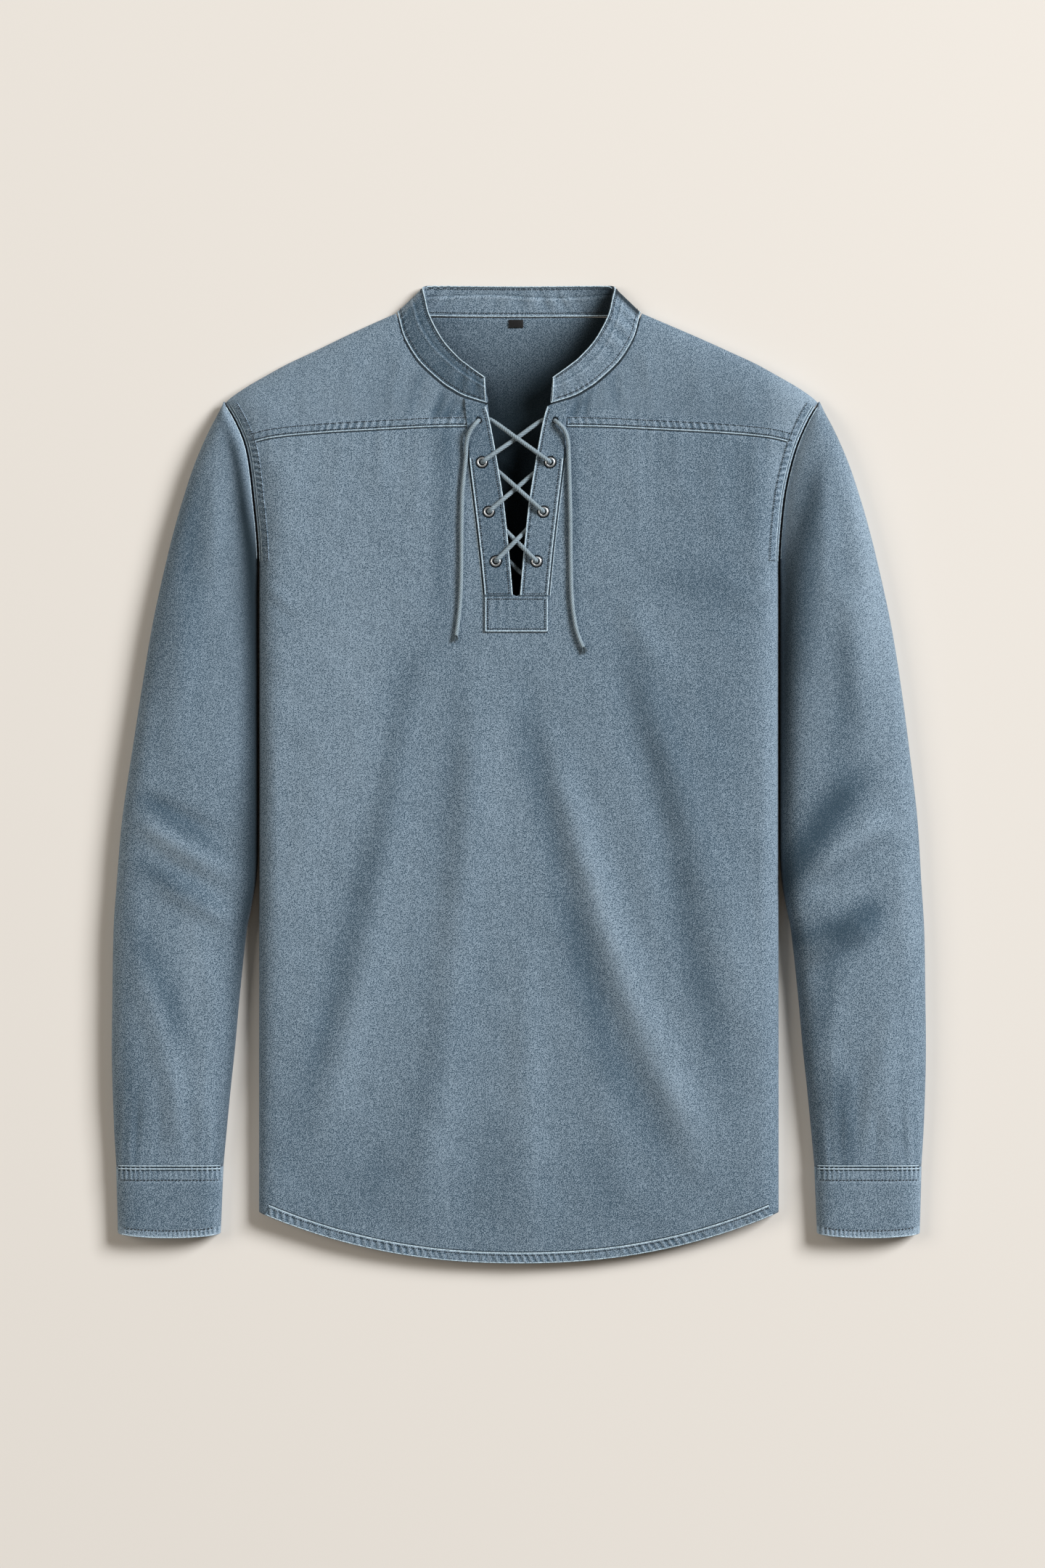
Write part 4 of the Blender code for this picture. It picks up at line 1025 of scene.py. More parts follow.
# %% Form of the sleeves
SHOULDER_TIP = (238.0, 298.0)
ARMHOLE_GAP = 0.8
SLEEVE_IN_REACH, SLEEVE_OUT_REACH = 24.0, 26.0
SLEEVE_END, CUFF_END = -313.6, -367.0
SLEEVE_INNER = ((-314, 236.6), (-255, 231.0), (-220, 227.3), (-176, 223.3), (-124, 217.6),
                (-107, 214.2), (-85, 210.4), (-55, 208.8), (150, 208.8), (166, 208.8))
SLEEVE_OUTER = ((-314, 322.2), (-281, 324.2), (-228, 325.8), (-176, 325.4), (-124, 324.5),
                (-89, 322.2), (-37, 318.4), (15, 311.6), (67, 304.2), (119.5, 295.6),
                (171.7, 284.2), (206.5, 275.2), (241, 264.4), (259, 257.4), (276, 249.6),
                (290, 242.2), (298, 238.4))
SLEEVE_CROWN = ((-314, 20.0), (-250, 24.0), (-100, 26.0), (100, 26.0), (220, 25.0), (298, 22.0))
# large folds: start x and y, end x and y, half width, height
SLEEVE_FOLDS = {
    -1: ((306, -36, 226, -84, 10, 4.5), (286, -86, 224, -122, 9, 3.5),
         (268, 160, 276, 10, 13, 3.0), (298, -150, 268, -290, 11, 2.5)),
    1: ((294, -34, 220, -86, 12, 5.0), (283, -112, 224, -152, 12, 4.0),
        (262, 160, 276, 20, 13, 3.0), (300, -180, 280, -290, 11, 2.5)),
}
# small creases, in the same way
SLEEVE_CREASES = {
    -1: ((244, 250, 246, 130, 7, 1.0), (256, 236, 270, 120, 8, -0.9), (300, 60, 306, -30, 9, 0.9),
         (304, -16, 232, -52, 7, -2.0), (288, -66, 224, -102, 6, -0.8),
         (262, -108, 240, -196, 8, 1.0), (306, -90, 300, -200, 8, 0.9),
         (250, -210, 252, -300, 6, 0.9), (276, -230, 270, -312, 6, 0.8),
         (296, -240, 300, -312, 6, 0.7), (312, -250, 312, -312, 6, 0.6),
         (262, -262, 262, -312, 4, -0.6), (286, -262, 286, -312, 4, -0.6),
         (305, -266, 306, -312, 4, -0.5), (244, -270, 246, -312, 4, 0.5)),
    1: ((240, 250, 244, 120, 7, 1.0), (254, 236, 266, 120, 8, -0.9), (296, 120, 306, 10, 10, 1.0),
        (288, -52, 226, -106, 7, -1.8), (276, -130, 228, -168, 7, -1.4),
        (258, -160, 246, -236, 8, 1.0), (306, -60, 312, -180, 9, 1.0),
        (252, -212, 250, -300, 6, 1.0), (272, -226, 270, -312, 6, -0.9),
        (298, -226, 296, -312, 7, 0.9), (312, -250, 312, -312, 6, 0.6),
        (262, -262, 262, -312, 4, 0.6), (286, -262, 284, -312, 4, -0.6),
        (305, -266, 306, -312, 4, -0.5), (243, -270, 245, -312, 4, 0.5)),
}
# the underside of a tube: part of the way across, distance from there, height
SLEEVE_UNDER = ((1.0, -0.25, 5.9), (1.0, -0.9, 4.0), (1.0, -2.0, 2.3), (1.0, -3.6, 1.1),
                (1.0, -5.6, 0.3), (1.0, -8.0, 0.0), (0.68, 0.0, 0.0), (0.45, 0.0, 0.0),
                (0.22, 0.0, 0.0), (0.0, 5.0, 0.0), (0.0, 2.6, 0.25), (0.0, 1.2, 0.9),
                (0.0, 0.35, 2.0))
SLEEVE_COLUMNS, SLEEVE_ROWS = 56, 230


def sleeve_inner(y):
    """Inner line of the sleeve: the armhole, then the edge beside the body."""
    return np.where(y > ARMPIT, along(SIDE_EDGE, y) + ARMHOLE_GAP, along(SLEEVE_INNER, y))


def cuff_ripples(side, x, y):
    """Long ripples, from -1 to 1, that run up a sleeve from its cuff."""
    return pucker(x + 0.06 * y, 3.7 + side, 8.0) * np.exp(-np.maximum(y - SLEEVE_END, 0.0) / 42.0)


def sleeve_height(side, x, y):
    """Outer face of a sleeve's upper side, x measured outwards."""
    inner, outer = sleeve_inner(y), along(SLEEVE_OUTER, y)
    tucked = mix(along(EDGE_HEIGHT, y), 3.6, ease(ARMPIT + 12, ARMPIT - 20, y))
    tucked = mix(tucked, 7.0, ease(-60, -110, y))
    part = np.clip((x - inner) / np.maximum(outer - inner, 1.0), 0, 1)
    low = mix(tucked, 8.0, part)
    high = along(SLEEVE_CROWN, y) + creases(SLEEVE_FOLDS[side], x, y)
    up = rounding(x - inner, SLEEVE_IN_REACH) * rounding(outer - x, SLEEVE_OUT_REACH)
    up = mix(up, np.sqrt(1 - (2 * part - 1) ** 2), 0.45 * ease(290, 230, y) * ease(-314, -290, y))
    fine = (creases(SLEEVE_CREASES[side], x, y) + unevenness(x + 40 * side, y)
            + 0.35 * cuff_ripples(side, x, y))
    return low + (high - low + fine) * up


# %% Sleeves
def sleeve_points(side):
    """Rings of points of one sleeve, from the armhole down to the cuff seam."""
    down = np.linspace(0, 1, SLEEVE_ROWS) ** 1.04
    over = (1 - np.cos(np.linspace(0, math.pi, SLEEVE_COLUMNS))) / 2
    over = mix(np.linspace(0, 1, SLEEVE_COLUMNS), over, 0.6)
    columns = [(part, 0.0, None) for part in over] + list(SLEEVE_UNDER)
    outer_y = mix(SHOULDER_TIP[1], SLEEVE_END, down)
    inner_y = outer_y - (SHOULDER_TIP[1] - ARMPIT) * (1 - ease(0.0, 0.75, down))
    inner_x, outer_x = sleeve_inner(inner_y), along(SLEEVE_OUTER, outer_y)
    length = np.maximum(np.hypot(outer_x - inner_x, outer_y - inner_y), 1.0)
    straight = sleeve_inner(np.array([ARMPIT, SHOULDER_TIP[1]]))
    rings = []
    for part, inset, height in columns + columns[:1]:
        across = part + inset / length
        x, y = mix(inner_x, outer_x, across), mix(inner_y, outer_y, across)
        bow = sleeve_inner(mix(ARMPIT, SHOULDER_TIP[1], across)) - mix(*straight, across)
        x = x + bow * (1.0 - ease(0.0, 0.3, down))
        z = sleeve_height(side, x, y) if height is None else np.full_like(x, height)
        rings.append(np.stack([side * x, y, z], axis=1))
    return np.stack(rings, axis=1)


# where a sleeve's cloth is paler or darker, as wash and as painted light and painted shade on
# the sides that face towards or away from the lamp: x and y of a stroke's ends, half width, amount
SLEEVE_WASH_AND_PAINTED_LIGHT = {
    -1: ((262, 250, 268, 30, 13, -0.24), (268, -140, 286, -260, 9, -0.06),
         (306, -120, 262, -222, 9, -0.30), (306, -16, 232, -68, 8, -0.34),
         (308, -70, 232, -110, 8, -0.32), (318, 100, 324, -340, 6, 0.12),
         (278, 190, 300, -20, 15, -0.12), (296, 210, 318, 60, 8, 0.12),
         (302, -46, 240, -90, 7, 0.15), (308, -60, 312, -320, 8, -0.09),
         (258, -120, 240, -260, 10, 0.04), (266, -100, 258, -215, 9, 0.14),
         (306, -215, 310, -390, 12, -0.14)),
    1: ((236, 250, 222, 60, 10, -0.30), (276, 8, 180, -130, 14, -0.64),
        (256, 120, 264, 10, 9, -0.26), (290, -100, 236, -150, 12, -0.60),
        (302, -50, 290, -62, 9, -0.12), (256, -235, 266, -335, 9, -0.30),
        (292, 60, 304, -200, 12, 0.06), (224, -88, 290, -96, 9, 0.10),
        (252, 60, 250, -20, 8, -0.14), (262, 290, 292, 40, 11, 0.22),
        (266, -116, 192, -142, 9, -0.36), (252, -146, 234, -232, 10, -0.24),
        (238, -220, 250, -345, 9, -0.12), (302, 180, 321, -300, 7, 0.08),
        (292, -116, 262, -142, 8, -0.16), (290, 220, 312, 60, 9, 0.12),
        (262, 300, 296, 60, 16, 0.08)),
}
# painted shade beside the body, where the body shades a sleeve: height, amount, reach, and how
# far from its inner edge it is deepest
SLEEVE_PAINTED_SHADE = {
    -1: ((-314, 0.35, 7.0, 0.0), (-200, 0.50, 8.0, 0.0), (-110, 0.95, 13.0, 0.0),
         (-60, 0.98, 18.0, 0.0), (20, 0.96, 13.0, 0.0), (96, 0.97, 13.0, 1.0),
         (150, 0.98, 14.0, 3.0), (212, 0.95, 8.5, 9.0), (258, 0.80, 5.5, 10.0),
         (290, 0.3, 4.0, 9.0), (298, 0.0, 3.0, 8.0)),
    1: ((-314, 0.25, 5.0, 0.0), (-200, 0.40, 6.0, 0.0), (-60, 0.70, 9.0, 0.0),
        (60, 0.90, 12.0, 2.0), (110, 0.86, 13.0, 4.0), (154, 0.76, 12.0, 8.0),
        (212, 0.56, 9.0, 18.0), (255, 0.1, 7.0, 22.0), (298, 0.0, 6.0, 22.0)),
}
# painted shade in the deepest folds of a sleeve, as strokes
SLEEVE_VALLEY_PAINTED_SHADE = {
    -1: ((306, -20, 232, -70, 7, 0.12), (306, -76, 232, -112, 7, 0.12)),
    1: ((270, 0, 186, -126, 11, 0.18), (292, -102, 226, -150, 9, 0.16),
        (256, -230, 266, -345, 8, 0.15)),
}


def sleeve_finish(side, x, y):
    """How washed out a sleeve's places are, with painted light and painted shade, and how much
    painted shadow they get.
    """
    rubbed = (0.035 * creases(SLEEVE_FOLDS[side], x, y)
              + 0.05 * creases(SLEEVE_CREASES[side], x, y))
    wear_and_painted_light = (np.clip(rubbed, -0.12, 0.2) + creases(SLEEVE_WASH_AND_PAINTED_LIGHT[side], x, y)
            + 0.13 * cuff_ripples(side, x, y))
    heights, amounts, reaches, deepest = zip(*SLEEVE_PAINTED_SHADE[side])
    from_seam = np.maximum(x - sleeve_inner(y), 0.0)
    # painted light beside the armhole seam, against the shade of the valley there
    wear_and_painted_light = wear_and_painted_light + 0.34 * bell(from_seam, 6.0) * ease(165, 195, y)
    off = from_seam - np.interp(y, heights, deepest)
    painted_sleeve_shade = np.interp(y, heights, amounts) * bell(off, np.interp(y, heights, reaches))
    return wear_and_painted_light, np.clip(painted_sleeve_shade + creases(SLEEVE_VALLEY_PAINTED_SHADE[side], x, y), 0.0, 0.97)


for side, word in SIDES:
    points = sleeve_points(side)
    painted_light_and_wear, painted_sleeve_shade = sleeve_finish(side, np.abs(points[..., 0]), points[..., 1])
    sleeve = lay_cloth(f"sleeve_{word}_cloth", points, flat_places(points), painted_light_and_wear, painted_sleeve_shade,
                       turned=side > 0, tube=True)
    finish_piece(sleeve, "denim", f"sleeve_{word}", flat=(0.260, 0.612), held="laid", area=0.122,
                 rests_on=["surface"])
    print(sleeve.name, len(sleeve.data.polygons), "faces")

# %% [markdown]
# ## The cuffs
# A cuff is a folded band of two layers, so it is thicker than the sleeve and its edge is
# round. Its seam and its lower edge are stitched, and the cloth between has shrunk a little
# less than the thread, which leaves short puckers across both.

# %% Cuffs
CUFF_INNER, CUFF_OUTER = (236.4, 238.6), (322.4, 321.0)
CUFF_CROWN, CUFF_EDGE, CUFF_REACH = (20.6, 18.0), 7.5, (24.0, 30.0)
CUFF_SWEEP, CUFF_CLOTH = 4.0, 2.0
CUFF_ROWS, CUFF_COLUMNS = 64, 110
CUFF_SEAM_BAND, CUFF_EDGE_BAND = 11.0, 6.0       # widths of the puckered bands
CUFF_DARKENING = {-1: 0.10, 1: 0.03}                  # how much darker each cuff is


def cuff_edge(x):
    """Height of a cuff's lower edge, which sweeps down a little in the middle."""
    part = (x - CUFF_INNER[1]) / (CUFF_OUTER[1] - CUFF_INNER[1])
    return CUFF_END - CUFF_SWEEP * np.sqrt(np.sin(math.pi * np.clip(part, 0.0, 1.0)))


def cuff_height(x, y):
    """Outer face of a cuff's upper side, x measured outwards."""
    v = np.clip((SLEEVE_END - SEAM_GAP - y) / (SLEEVE_END - CUFF_END), 0.0, 1.0)
    up = (rounding(x - mix(*CUFF_INNER, v), CUFF_REACH[0])
          * rounding(mix(*CUFF_OUTER, v) - x, CUFF_REACH[1]))
    return mix(CUFF_EDGE, mix(*CUFF_CROWN, v), up)


def cuff_face(side, x, y, to_sides):
    """Height of the shown side of a cuff down one column, and how rubbed it is, with painted light
    on its rolled sides.
    """
    from_seam, from_edge = y[0] - y, y - y[-1]
    at_seam = ease(CUFF_SEAM_BAND + 2, CUFF_SEAM_BAND - 3, from_seam)
    at_edge = ease(CUFF_EDGE_BAND + 1.5, CUFF_EDGE_BAND - 1, from_edge)
    ripple = at_seam * pucker(x, 1.3 + side, 3.9) + at_edge * pucker(x, 2.9 + side, 3.6)
    groove = bell(from_seam - CUFF_SEAM_BAND, 0.8) + bell(from_edge - CUFF_EDGE_BAND, 0.7)
    band_foot = bell(from_seam - CUFF_SEAM_BAND - 0.9, 0.9)
    # painted light on the cuff's rolled sides, against their shade
    sides = bell(to_sides[0], 5.0) + 1.6 * bell(to_sides[1], 6.0)
    rub_and_painted_light = (0.42 * ripple - CUFF_DARKENING[side] + 0.10 * at_seam + 0.28 * at_edge
           + 0.6 * bell(from_edge, 1.3)
           + 0.34 * band_foot * (0.6 + 0.4 * pucker(x, 0.4 + side, 3.6)) + 0.13 * sides)
    return cuff_height(x, y) + 0.42 * ripple - 0.3 * groove, rub_and_painted_light


def cuff_points(side):
    """Rings of points of one cuff, and how rubbed each is, with painted light on its sides."""
    over = np.linspace(0, 1, CUFF_COLUMNS)
    columns = [(part, 0.0, None) for part in over] + list(SLEEVE_UNDER)
    v = np.linspace(0, 1, CUFF_ROWS)
    inner_x, outer_x = mix(*CUFF_INNER, v), mix(*CUFF_OUTER, v)
    rings, painted_light_and_wear = [], []
    for part, inset, height in columns + columns[:1]:
        x = mix(inner_x, outer_x, part) + inset
        y = mix(SLEEVE_END - SEAM_GAP, cuff_edge(x[-1]), v)
        if height is None:
            z, rub_and_painted_light = cuff_face(side, x, y, (x - inner_x, outer_x - x))
        else:
            z, rub_and_painted_light = np.full_like(x, height), np.zeros_like(x)
        rings.append(np.stack([side * x, y, z], axis=1))
        painted_light_and_wear.append(rub_and_painted_light)
    return np.stack(rings, axis=1), np.stack(painted_light_and_wear, axis=1)


for side, word in SIDES:
    points, painted_light_and_wear = cuff_points(side)
    cuff = lay_cloth(f"cuff_{word}_cloth", points, flat_places(points), painted_light_and_wear,
                     turned=side > 0, tube=True, thickness=CUFF_CLOTH)
    finish_piece(cuff, "denim", f"cuff_{word}", flat=(0.196, 0.054), held="folded",
                 rests_on=["surface"])
    print(cuff.name, len(cuff.data.polygons), "faces")

# %% [markdown]
# ## The collar band
# The stand collar is one band round the neck. Laid out, its front half lies over the yokes
# and its back half lies flat on the back, and it folds over at the shoulders. Its stations
# give where the seam and the top edge are, from a front end round to the middle of the back.

# %% Collar band
# seam x and y, top edge x and y, height of seam and top (none: it follows the yoke)
COLLAR_STATIONS = (
    (25.4, 295.8, 27.0, 316.2, None, None),
    (43.3, 301.4, 37.0, 323.4, None, None),
    (53.4, 306.8, 42.5, 327.6, None, None),
    (62.7, 313.2, 48.5, 332.6, None, None),
    (79.9, 329.4, 60.8, 346.6, None, None),
    (91.2, 347.4, 71.2, 366.0, None, None),
    (95.4, 361.0, 75.0, 381.0, 14.0, 15.5),
    (96.8, 367.0, 76.4, 386.6, 9.5, 11.0),
    (97.4, 369.6, 76.4, 389.6, 5.0, 6.4),
    (95.0, 369.4, 73.6, 391.0, 1.4, 2.8),
    (87.0, 367.2, 64.0, 391.0, 0.2, 1.6),
    (60.0, 366.4, 42.0, 390.8, 0.2, 2.0),
    (30.0, 366.1, 20.0, 390.6, 0.2, 2.2),
    (0.0, 366.0, 0.0, 390.5, 0.2, 2.3),
)
COLLAR_CLOTH, COLLAR_UP = 2.0, 24          # thickness and width of the band
COLLAR_LIFT, COLLAR_BULGE = 0.4, 3.4       # its seam and its top edge over the yoke
COLLAR_FOLD = 5                            # station from which it lies on the back
COLLAR_FINE, COLLAR_ROWS = 14, 26          # points between two stations, and up the band


def collar_lines(side):
    """Seam line and top line of half the collar, each a row of points from front to back."""
    stations = []
    for seam_x, seam_y, top_x, top_y, seam_z, top_z in COLLAR_STATIONS:
        if seam_z is None:
            seam_z = float(body_height(side * seam_x, seam_y)) + COLLAR_LIFT
            top_z = seam_z + COLLAR_BULGE
        stations.append((seam_x, seam_y, seam_z, top_x, top_y, top_z))
    places = np.linspace(0, len(stations) - 1, (len(stations) - 1) * COLLAR_FINE + 1)
    values = [along(list(enumerate(column)), places) for column in zip(*stations)]
    on_yoke = body_height(side * values[0], values[1]) + COLLAR_LIFT
    values[2] = np.where(places < COLLAR_FOLD, on_yoke, values[2])
    values[2], values[5] = np.maximum(values[2], 0.2), np.maximum(values[5], 1.5)
    seam = np.stack([side * values[0], values[1], values[2]], axis=1)
    top = np.stack([side * values[3], values[4], values[5]], axis=1)
    return seam, top


def collar_points():
    """Rows and columns of the whole band, from one front end to the other, with how rubbed it is,
    painted shade included, and its painted shadow.
    """
    halves = [collar_lines(-1), collar_lines(1)]
    seam, top = (np.concatenate((halves[0][line], halves[1][line][-2::-1])) for line in (0, 1))
    travelled = travelled_along(seam)
    v = np.linspace(0, 1, COLLAR_ROWS)[:, None]
    front_half = ease(9.0, 14.0, seam[:, 2])[None]
    seam_ripple = pucker(travelled, 0.7, 5.0)[None] * bell(v - 0.12, 0.13)
    edge_ripple = pucker(travelled, 4.1, 6.3)[None] * bell(v - 0.9, 0.10)
    crumple = pucker(travelled, 2.2, 17.0)[None] * bell(v - 0.5, 0.3)
    fold_line = 0.60 + 0.05 * np.sin(travelled / 23.0)[None]
    line = bell(v - fold_line, 0.035) - 0.8 * bell(v - fold_line - 0.07, 0.035)
    lift = 0.8 * np.sin(math.pi * v) * front_half
    lift = lift + 0.38 * seam_ripple + 0.28 * edge_ripple + 0.65 * crumple + 0.55 * line
    points = mix(seam[None], top[None], v[..., None])
    points[..., 2] += lift
    painted_light_and_wear = 0.34 * seam_ripple + 0.24 * edge_ripple + 0.15 * crumple + 0.30 * line
    # the front half at the wearer's right is darker: painted shade, for the side away from the lamp
    painted_light_and_wear = painted_light_and_wear + 0.04 - 0.38 * front_half * ease(10, -30, seam[:, 0])[None]
    # painted shadow of the collar's far side on the inner face of its back half
    left_corner = ease(60, 40, np.abs(seam[:, 0] - 96))[None]
    shade = painted_collar_shadow(points[..., 0], points[..., 1]) * (1.0 - front_half) * left_corner
    return points, painted_light_and_wear, np.clip(shade, 0, 0.9), travelled


collar_grid, collar_wear_and_painted_light, collar_shade, collar_travelled = collar_points()
collar_thread = np.stack(np.broadcast_arrays(
    collar_travelled[None], np.linspace(0, COLLAR_UP, COLLAR_ROWS)[:, None]), axis=2)
collar = lay_cloth("collar_band_cloth", collar_grid, collar_thread, collar_wear_and_painted_light, collar_shade,
                   thickness=COLLAR_CLOTH, outward=True)
finish_piece(collar, "denim", "collar_band", held="folded",
             flat=(round(collar_travelled[-1] * MM, 3), COLLAR_UP * MM),
             rests_on=["yoke_right_cloth", "yoke_left_cloth"])
print("collar:", round(collar_travelled[-1]), "mm round")

# %% [markdown]
# ## The placket
# Beside the slit lies a folded strip on each side, and a square of cloth closes its foot.
# They lie on the front, so their points are the front's points, moved out by their thickness.

# %% Placket strips and base
PLACKET_FOOT, BASE_FOOT, BASE_HALF = 141.5, 113.2, 25.2
STRIP_ROWS, STRIP_COLUMNS = 150, 26
EYELET_HOLE, FINE_CELL = 4.6, 0.8
STRIP_DARKENING = {-1: 0.24, 1: 0.10}            # how much darker each strip is


def over_front(x, y):
    """Outer face of cloth that lies on the front as a strip of its own."""
    return body_cloth(x, y) + LAY_GAP + PLACKET_CLOTH


def strip_points(side):
    """Rows and columns of one placket strip, and how rubbed and pale its cloth is."""
    part, v = np.meshgrid(np.linspace(0, 1, STRIP_COLUMNS), np.linspace(0, 1, STRIP_ROWS))
    y = PLACKET_FOOT + SEAM_GAP + 0 * v
    for _ in range(5):
        x = PLACKET_AXIS + side * mix(along(SLIT_HALF, y), along(STRIP_HALF, y), part)
        top = NECKLINE[0][1] + 0.3 * (np.abs(x) - NECKLINE[0][0]) - 0.6
        y = mix(PLACKET_FOOT + SEAM_GAP, top, v)
    ripple = pucker(y, 1.9 + side, 6.0) * (bell(part - 0.1, 0.12) + bell(part - 0.9, 0.1))
    points = np.stack([x, y, over_front(x, y) + 0.24 * ripple], axis=2)
    return points, 0.20 * ripple - STRIP_DARKENING[side]


def base_points():
    """Rows and columns of the square below the slit, and how rubbed and pale its cloth is."""
    u, v = np.meshgrid(np.linspace(0, 1, 60), np.linspace(0, 1, 36))
    x = PLACKET_AXIS + mix(-BASE_HALF, BASE_HALF, u)
    y = mix(BASE_FOOT, PLACKET_FOOT, v)
    ripple = pucker(x, 3.3, 7.5) * (0.4 + 0.6 * v)
    return np.stack([x, y, over_front(x, y) + 0.18 * ripple], axis=2), 0.22 * ripple - 0.08


for side, word in SIDES:
    points, painted_light_and_wear = strip_points(side)
    holes = [(eyelet_centre(side, row), EYELET_HOLE, FINE_CELL) for row in range(len(EYELET_ROWS))]
    holes.append((hole_centre(side), LACE_HOLE_RADIUS, FINE_CELL))
    strip = lay_cloth(f"placket_strip_{word}", points, flat_places(points), painted_light_and_wear,
                      turned=side < 0, thickness=PLACKET_CLOTH, holes=holes)
    finish_piece(strip, "placket_denim", f"placket_{word}", flat=(0.026, 0.160), held="folded",
                 area=0.0030, rests_on=["front_panel"])
    print(strip.name, len(strip.data.polygons), "faces")

points, painted_light_and_wear = base_points()
base = lay_cloth("placket_square", points, flat_places(points), painted_light_and_wear, thickness=PLACKET_CLOTH)
finish_piece(base, "placket_denim", "placket_base", flat=(0.0504, 0.0283), held="folded",
             rests_on=["front_panel"])

# %% [markdown]
# ## Sewing
# Each seam of such a shirt is folded and stitched down, and that is what gives it its drawn
# look: a narrow rubbed ridge, a dark line where the cloth is drawn down beside it, a dotted
# row of dark stitches that sink in, and a puckered band. All of them have real relief here,
# and the dark line's near-black colour is a painted shadow of that groove, as the stitches'
# near-black thread is painted shade. A line is drawn from the same tables as the cloth and
# laid on the cloth's height, and a band, a ridge or a row is built on it.

# %% Lines to sew along
SEWING_STEP = 1.0
# outer faces that sewing lies on
SHOWN = {"body": body_cloth, "placket": over_front, "cuff": lambda x, y: cuff_height(np.abs(x), y),
         "sleeve_right": lambda x, y: sleeve_height(-1, np.abs(x), y),
         "sleeve_left": lambda x, y: sleeve_height(1, np.abs(x), y)}


def sewing_line(points):
    """Evenly spaced places on a smooth line through a few x and y places."""
    rows = np.arange(len(points))
    fine = np.linspace(0, rows[-1], 30 * len(points))
    run = np.stack([along(list(zip(rows, column)), fine) for column in zip(*points)], axis=1)
    travelled = np.concatenate(([0.0], np.cumsum(np.hypot(*np.diff(run, axis=0).T))))
    even = np.linspace(0, travelled[-1], int(travelled[-1] / SEWING_STEP) + 1)
    return np.stack([np.interp(even, travelled, column) for column in run.T], axis=1)


def beside(line, distance):
    """The line moved to its own left by a distance."""
    ahead = np.gradient(line, axis=0)
    ahead /= np.linalg.norm(ahead, axis=1)[:, None]
    return line + np.stack([-ahead[:, 1], ahead[:, 0]], axis=1) * distance


def off_cloth(surface, x, y, step=0.5):
    """Direction straight off a surface."""
    slope_x = (surface(x + step, y) - surface(x - step, y)) / (2 * step)
    slope_y = (surface(x, y + step) - surface(x, y - step)) / (2 * step)
    off = np.stack([-slope_x, -slope_y, np.ones_like(x)], axis=-1)
    return off / np.linalg.norm(off, axis=-1)[..., None]


def laid_run(line, on):
    """A line laid on a named surface: its points, and the directions off the cloth."""
    x, y = line[:, 0], line[:, 1]
    surface = SHOWN[on]
    return np.stack([lean(x, y), y, surface(x, y)], axis=1), off_cloth(surface, x, y)


def collar_run(v, first=0.0, last=1.0):
    """A line round the collar band, a part of the way up it, between two parts of its length."""
    across = np.cross(np.gradient(collar_grid, axis=1), np.gradient(collar_grid, axis=0))
    across /= np.linalg.norm(across, axis=2)[..., None]
    inside = across[..., 2] > 0                      # the back half, where the inner side shows
    shown = collar_grid + across * (COLLAR_CLOTH * inside)[..., None]
    off = across * np.where(inside, 1.0, -1.0)[..., None]
    row = v * (COLLAR_ROWS - 1)
    low = min(int(row), COLLAR_ROWS - 2)
    points = mix(shown[low], shown[low + 1], row - low)
    up = mix(off[low], off[low + 1], row - low)
    travelled = travelled_along(points)
    even = np.arange(first * travelled[-1], last * travelled[-1], SEWING_STEP)
    return tuple(np.stack([np.interp(even, travelled, column) for column in rows.T], axis=1)
                 for rows in (points, up))


# %% Bands, ridges and stitches
def sewn(item, cloth_name):
    """Add a band, ridges or stitches to the piece of cloth they are sewn on."""
    on_shirt(item)
    SEWN_ON[cloth_name].append(item)


BAND_CLOTH = 0.5
BAND_ROLL = np.array((0.0, 0.35, 0.8))      # columns over the rolled edge of a band


def seam_band(name, cloth_name, line, on, width, seed, pitch, ripple=0.42):
    """A folded, puckered band beside a line: to its left, or right if width is less than 0."""
    wide, surface = abs(width), SHOWN[on]
    inset = np.concatenate((BAND_ROLL, np.linspace(1.5, wide - 1.5, 6), wide - BAND_ROLL[::-1]))
    flat = np.stack([beside(line, math.copysign(away, width)) for away in inset])
    x, y = flat[..., 0], flat[..., 1]
    travelled = SEWING_STEP * np.arange(len(line))[None] + 0.4 * inset[:, None]
    wave = pucker(travelled, seed, pitch)
    from_edge = np.minimum(inset, wide - inset)[:, None]
    roll = np.sqrt(np.clip(from_edge / 0.8, 0.0, 1.0))
    lift = 0.15 + 0.40 * roll + ripple * wave * np.clip(from_edge / 1.2, 0.25, 1.0)
    points = np.stack([x, y, surface(x, y)], axis=2) + off_cloth(surface, x, y) * lift[..., None]
    wear_and_painted_light = 0.42 * wave + 0.15 * (1.0 - roll)
    sewn(lay_cloth(name, points, flat, wear_and_painted_light, turned=width < 0, thickness=BAND_CLOTH), cloth_name)


def ridge(run, height, width=0.95, seed=0.0):
    """Rows of points of a small rounded ridge along a run."""
    points, off = run
    ahead = np.gradient(points, axis=0)
    left = np.cross(off, ahead)
    left /= np.linalg.norm(left, axis=1)[:, None]
    travelled = SEWING_STEP * np.arange(len(points))
    swell = 1.0 + 0.2 * np.sin(1.9 * travelled + seed) + 0.15 * np.sin(0.83 * travelled + 2 * seed)
    return np.stack([points + left * (part * width / 2)
                     + off * (height * swell * math.sqrt(1 - part * part) - 0.05)[:, None]
                     for part in np.linspace(-1, 1, 7)])


RIDGE_WEAR = 0.25


